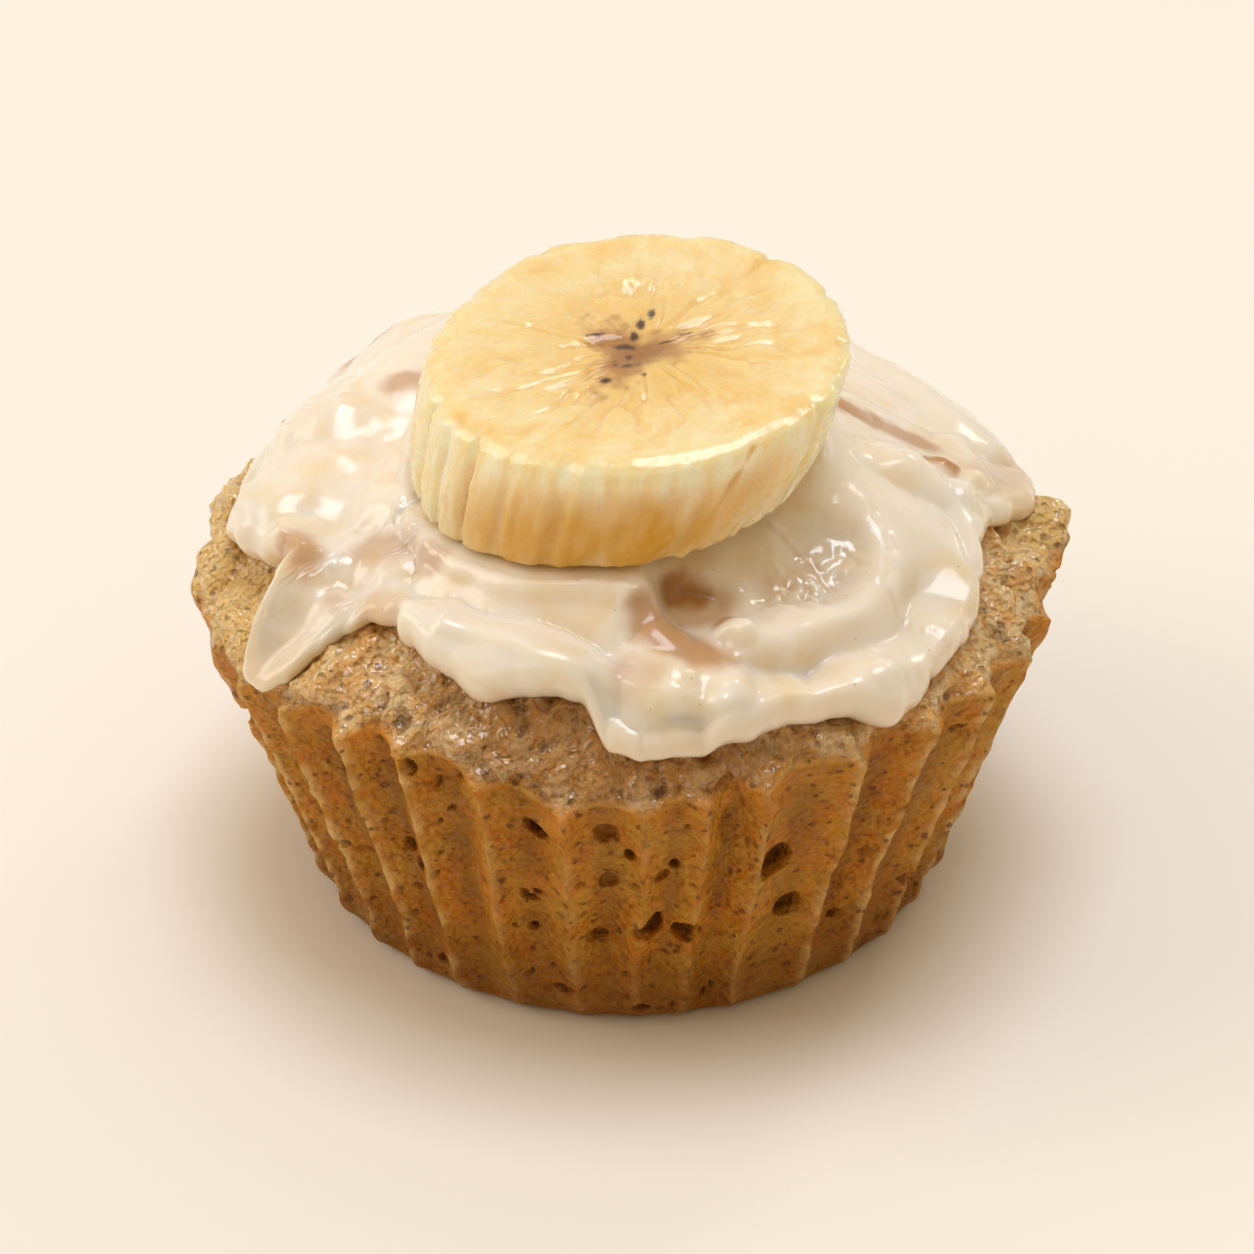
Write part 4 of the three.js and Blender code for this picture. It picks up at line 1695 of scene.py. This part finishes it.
    wrinkles: tuple[tuple[float, float, float, float], ...] = (
        # Plan place, half width and height of places where the skin of the icing has puckered.
        (13.2, -18.6, 3.4, 0.55),
        (16.2, -15.6, 2.6, 0.5),
        (10.8, -21.0, 2.2, 0.4),
        (-17.0, -11.4, 2.4, 0.4),
        (-21.6, -14.2, 1.8, 0.35),
        (-14.2, -16.2, 2.2, 0.35),
        (-23.4, 2.1, 1.6, 0.4),
    )
    piece: Piece = field(init=False)

    def showing(self, places: np.ndarray) -> np.ndarray:
        """Share of the crumb's colour that comes through the icing at plan places; in the hollow under the
        slice it is painted shade.
        """
        share = np.zeros(len(places))
        ways = (Swell.PATCH_ACROSS, Swell.PATCH_ALONG)
        wander = 0.45 * np.stack([unevenness(places, 1.6, way, 2) for way in ways], axis=1)
        for patch in self.patches:
            away = distance_to_line(places[:, :2] + wander, eased_line(patch.line))
            shown = smooth(away, 1.35 * patch.half_width, 0.35 * patch.half_width)
            share = np.maximum(share, patch.share * shown)
        return share

    def depth(self, places: np.ndarray) -> np.ndarray:
        """How thick the icing was poured over plan places.

        Args:
            places: points on the smooth dome.

        Returns:
            Thickness in millimetres, before the slice and the lumps have their say.
        """
        flat = places * np.array([1.0, 1.0, 0.0])
        depth = self.sheet + 0.32 * unevenness(flat, 6.0, Swell.ICING, 2)
        depth += 0.12 * unevenness(flat, 2.4, Swell.ICING_SMALL)
        ways = (Swell.WANDER_ACROSS, Swell.WANDER_ALONG)
        wander = 0.8 * np.stack([unevenness(flat, 4.0, way) for way in ways], axis=1)
        for roll in self.rolls:
            away = distance_to_line(places[:, :2] + wander, eased_line(roll.line))
            depth += roll.height * bump(away, roll.half_width, roll.power)
        for patch in self.patches:
            away = distance_to_line(places[:, :2] + 0.5 * wander, eased_line(patch.line))
            depth += patch.rise * bump(away, 1.6 * patch.half_width, 1.4)
        folds = np.abs(unevenness(flat + wander.mean(), 1.5, Swell.CREASES, 2))
        crease = 1.0 - np.clip(folds / 0.3, 0.0, 1.0)
        for across, along, half_width, height in self.wrinkles:
            away = np.hypot(places[:, 0] - across, places[:, 1] - along)
            depth += height * bump(away, half_width) * crease
        return depth

    def build(self) -> Piece:
        """Spread the sheet on the dome, round its lip, fit it to the crumb and the slice, and close it below.

        Returns:
            The finished piece, not yet dressed.
        """
        over = [(PLAIN_SIZE * share, PLAIN_SIZE) for share in 1.0 - np.linspace(0.0, 1.0, self.rings) ** 1.25]
        half = PLAIN_SIZE / 2
        turns = np.radians(np.linspace(self.lip_turn, 0.0, self.lip_steps + 1)[:-1])
        bead = [(PLAIN_SIZE + math.sin(turn), half + half * math.cos(turn)) for turn in turns]
        under = [(PLAIN_SIZE * share, 0.0) for share in np.linspace(0.0, 0.97, self.under_rings)]
        self.piece = Piece.spun("icing_glaze", [*under, *bead, *over], self.columns)
        plain = self.piece.places()
        azimuth = azimuths(plain[:, 0], plain[:, 1])
        spread, level = np.hypot(plain[:, 0], plain[:, 1]), plain[:, 2]
        on_lip = spread > PLAIN_SIZE + 1e-3
        below = level < 0.01
        share = np.minimum(spread, PLAIN_SIZE) / PLAIN_SIZE
        turn = np.where(on_lip, np.arccos(np.clip(level / half - 1.0, -1.0, 1.0)), 0.0)

        ring = np.stack([*plan(azimuth, 31.0).T, np.zeros(len(plain))], axis=1)
        wavy = round_trip(azimuth, self.edge) + 0.3 * unevenness(ring, 2.6, Swell.ICING_SHORE, 2)
        shore = wavy - self.lip - self.lean_out(azimuth)
        radius = shore * share
        base = np.column_stack([plan(azimuth, radius), self.cake.dome_height(radius)])
        slope = self.cake.dome_slope(radius)
        steep = 1.0 / np.hypot(1.0, slope)
        out = plan(azimuth, 1.0)
        normal = np.column_stack([out * (slope * steep)[:, None], steep])
        down = np.column_stack([out * steep[:, None], -slope * steep])

        depth = self.fitted(base, normal, np.maximum(self.depth(base), 0.05))
        height = np.where(on_lip, 0.5 * (1.0 + np.cos(turn)), 1.0) * depth
        places = base + normal * height[:, None] + down * (self.lip * np.sin(turn))[:, None]
        self.settle(places, below, turn)
        return self.piece

    def lean_out(self, azimuth: np.ndarray) -> np.ndarray:
        """How far a thick edge leans out over its own foot, as the dome falls away below it.

        Args:
            azimuth: direction from the cake's axis, in degrees.

        Returns:
            The lean in millimetres.
        """
        marks = np.arange(-180.0, 180.0, 2.0)
        shore = round_trip(marks, self.edge) - self.lip
        places = np.column_stack([plan(marks, shore), np.zeros(len(marks))])
        slope = self.cake.dome_slope(shore)
        lean = np.maximum(self.depth(places) - 1.0, 0.0) * slope / np.hypot(1.0, slope)
        return 0.8 * np.interp(azimuth, marks, lean, period=360.0)

    def fitted(self, base: np.ndarray, normal: np.ndarray, depth: np.ndarray) -> np.ndarray:
        """Let the icing fill up to the slice, and press it down below it.

        Args:
            base: places on the smooth dome.
            normal: the dome's outward unit vectors there.
            depth: thickness as poured.

        Returns:
            The thickness with the slice laid on.
        """
        lean = normal[:, 2]
        top = base + normal * depth[:, None]
        outside = self.slice.outside(top)
        gap = self.slice.seat(top) - base[:, 2]
        azimuth = azimuths(top[:, 0] - self.slice.low_middle[0], top[:, 1] - self.slice.low_middle[1])
        # The icing is drawn up to the slice all round, but for a stretch at the right of the front.
        held = 1.0 - smooth(azimuth, 9.0, 19.0) * smooth(azimuth, 88.0, 62.0)
        # Its skirt reaches the slice's lower face, swells into a collar beside it, and falls away outwards.
        skirt = (gap - 0.05 + 0.45 * bump(outside - 0.7, 1.1) - 0.62 * np.maximum(outside, 0.0)) / lean
        filled = np.where(held > 0.0, depth + np.maximum(skirt - depth, 0.0) * held, depth)
        blend = 0.5 * (depth + filled + np.sqrt((filled - depth) ** 2 + 0.16))
        # Under the slice it stays just below the lower face.
        ceiling = (gap - 0.06 + 2.2 * np.maximum(outside - 0.25, 0.0)) / lean
        return np.minimum(np.where(filled > depth, blend, depth), ceiling)

    def crumb_below(self, places: np.ndarray) -> np.ndarray:
        """Height of the cake's top at plan places.

        Args:
            places: points over the cake.

        Returns:
            Heights in millimetres, minus infinity where the top doesn't reach.
        """
        cake_mesh = self.cake.piece.shape.data
        faces = [tuple(polygon.vertices) for polygon in cake_mesh.polygons]
        crumb = BVHTree.FromPolygons([vertex.co for vertex in cake_mesh.vertices], faces)
        above, wall = 0.1, 0.02  # metres: well over the cake, and a height that only its top reaches
        down = Vector((0.0, 0.0, -1.0))
        ground = np.full(len(places), -np.inf)
        for index, place in enumerate((places * MILLIMETRE).tolist()):
            hit = crumb.ray_cast(Vector((place[0], place[1], above)), down)[0]
            if hit is not None and hit.z > wall:
                ground[index] = hit.z / MILLIMETRE
        return ground

    def settle(self, places: np.ndarray, below: np.ndarray, turn: np.ndarray) -> None:
        """Lay the sheet on the crumb: lumps lift a thin film, and the underside follows the cake.

        Args:
            places: where each vertex would be over a smooth dome.
            below: true for the underside.
            turn: how far round the lip each vertex is, in radians.
        """
        ground = self.crumb_below(places)
        clear = places[:, 2] - ground
        lifted = 0.5 * (clear + self.film + np.sqrt((clear - self.film) ** 2 + 0.03))
        settled = places.copy()
        rises = ~below & (turn < 1.2) & np.isfinite(ground)
        settled[rises, 2] = ground[rises] + lifted[rises]
        # The underside is sunk into the cake, less so towards the edge, where it could show.
        distance = np.hypot(places[:, 0], places[:, 1])
        inward = round_trip(azimuths(places[:, 0], places[:, 1]), self.edge) - distance
        settled[below, 2] -= 0.9 + 1.5 * smooth(inward[below], 1.2, 6.0)
        smooth_ground = self.cake.dome_height(distance)
        thickness = np.clip(places[:, 2] - smooth_ground, 0.0, 6.0)
        showing = self.showing(places) * ~below
        wet = np.zeros(len(places))
        for across, along, half_width, _ in self.wrinkles:
            away = np.hypot(places[:, 0] - across, places[:, 1] - along)
            wet = np.maximum(wet, bump(away, 1.3 * half_width, 1.0))
        self.piece.put(settled)
        self.piece.paint(Layer.FILM, np.stack([thickness, showing, wet], axis=1))


# ------------------------------------------------------------------------------------------------------------
# The studio
# ------------------------------------------------------------------------------------------------------------


@dataclass(frozen=True)
class Lamp:
    """A square soft light: where it hangs and how large, bright and warm it is."""

    name: str
    place: tuple[float, float, float]
    size: float
    power: float
    colour: str


@dataclass
class Studio:
    """A pale floor, soft light from above, the left and behind, and a camera that looks down on the front."""

    look_at: tuple[float, float, float] = (0.0, 0.0, 0.0203)
    distance: float = 0.288
    elevation: float = 34.0
    lens: float = 100.0
    floor_radius: float = 4.0
    world_front: tuple[float, float, float] = (0.4, 0.298, 0.155)
    world_back: tuple[float, float, float] = (0.72, 0.65, 0.52)
    lamps: tuple[Lamp, ...] = (
        Lamp("lamp_above", (0.03, 0.08, 1.5), 0.72, 10.6, "#e8f0ff"),
        Lamp("lamp_left", (-1.15, 0.0, 0.75), 0.8, 5.0, "#fdf3e8"),
        Lamp("lamp_back", (0.7, 0.9, 0.95), 0.24, 1.3, "#fff8ee"),
    )

    def build(self) -> None:
        """Set out the floor, the light and the camera."""
        deselect_all()
        bpy.ops.mesh.primitive_circle_add(
            vertices=96, radius=self.floor_radius, fill_type="NGON", location=(0.0, 0.0, 0.0)
        )
        floor = bpy.context.object
        floor.name = "floor"
        floor.data.materials.append(StudioPaper().build())

        scene = bpy.context.scene
        scene.view_settings.view_transform = "Standard"
        scene.world = bpy.data.worlds.new("studio")
        scene.world.use_nodes = True
        tree = scene.world.node_tree
        direction = add_node(tree, "ShaderNodeTexCoord").outputs["Generated"]
        backwards = add_node(tree, "ShaderNodeSeparateXYZ", vector=direction).outputs["Y"]
        share = add_node(tree, "ShaderNodeMapRange", i0=backwards, i1=-1.0).outputs[0]
        front, back = (*self.world_front, 1.0), (*self.world_back, 1.0)
        sky = add_node(tree, "ShaderNodeMix", COLOURS, i0=share, i6=front, i7=back).outputs[2]
        tree.links.new(sky, tree.nodes["Background"].inputs["Color"])
        middle = Vector(self.look_at)
        for lamp in self.lamps:
            light = bpy.data.lights.new(lamp.name, "AREA")
            light.shape = "SQUARE"
            light.size = lamp.size
            light.energy = lamp.power
            light.color = linear(lamp.colour)[:3]
            holder = bpy.data.objects.new(lamp.name, light)
            holder.location = lamp.place
            holder.rotation_euler = (middle - holder.location).to_track_quat("-Z", "Y").to_euler()
            scene.collection.objects.link(holder)

        camera = bpy.data.objects.new("camera", bpy.data.cameras.new("camera"))
        camera.data.lens = self.lens
        rise = math.radians(self.elevation)
        camera.location = middle + Vector((0.0, -math.cos(rise), math.sin(rise))) * self.distance
        camera.rotation_euler = (math.pi / 2 - rise, 0.0, 0.0)
        scene.collection.objects.link(camera)
        scene.camera = camera


def main() -> None:
    """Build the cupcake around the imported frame, dress it and set up the studio."""
    logging.basicConfig(level=logging.INFO, format="%(name)s: %(message)s")
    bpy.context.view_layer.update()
    low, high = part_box("cake")
    Studio().build()
    cake = Cake(rim_radius=(high.y - low.y) / 2 / MILLIMETRE)
    cake.build()
    slice_ = BananaSlice()
    slice_.build()
    icing = Icing(cake, slice_)
    icing.build()
    cake.piece.finish("cake", "baked_crumb", BakedCrumb().build())
    slice_.piece.finish("banana_slice", "banana_flesh", BananaFlesh().build())
    icing.piece.finish("icing", "glaze_icing", GlazeIcing().build())


if __name__ == "__main__":
    main()
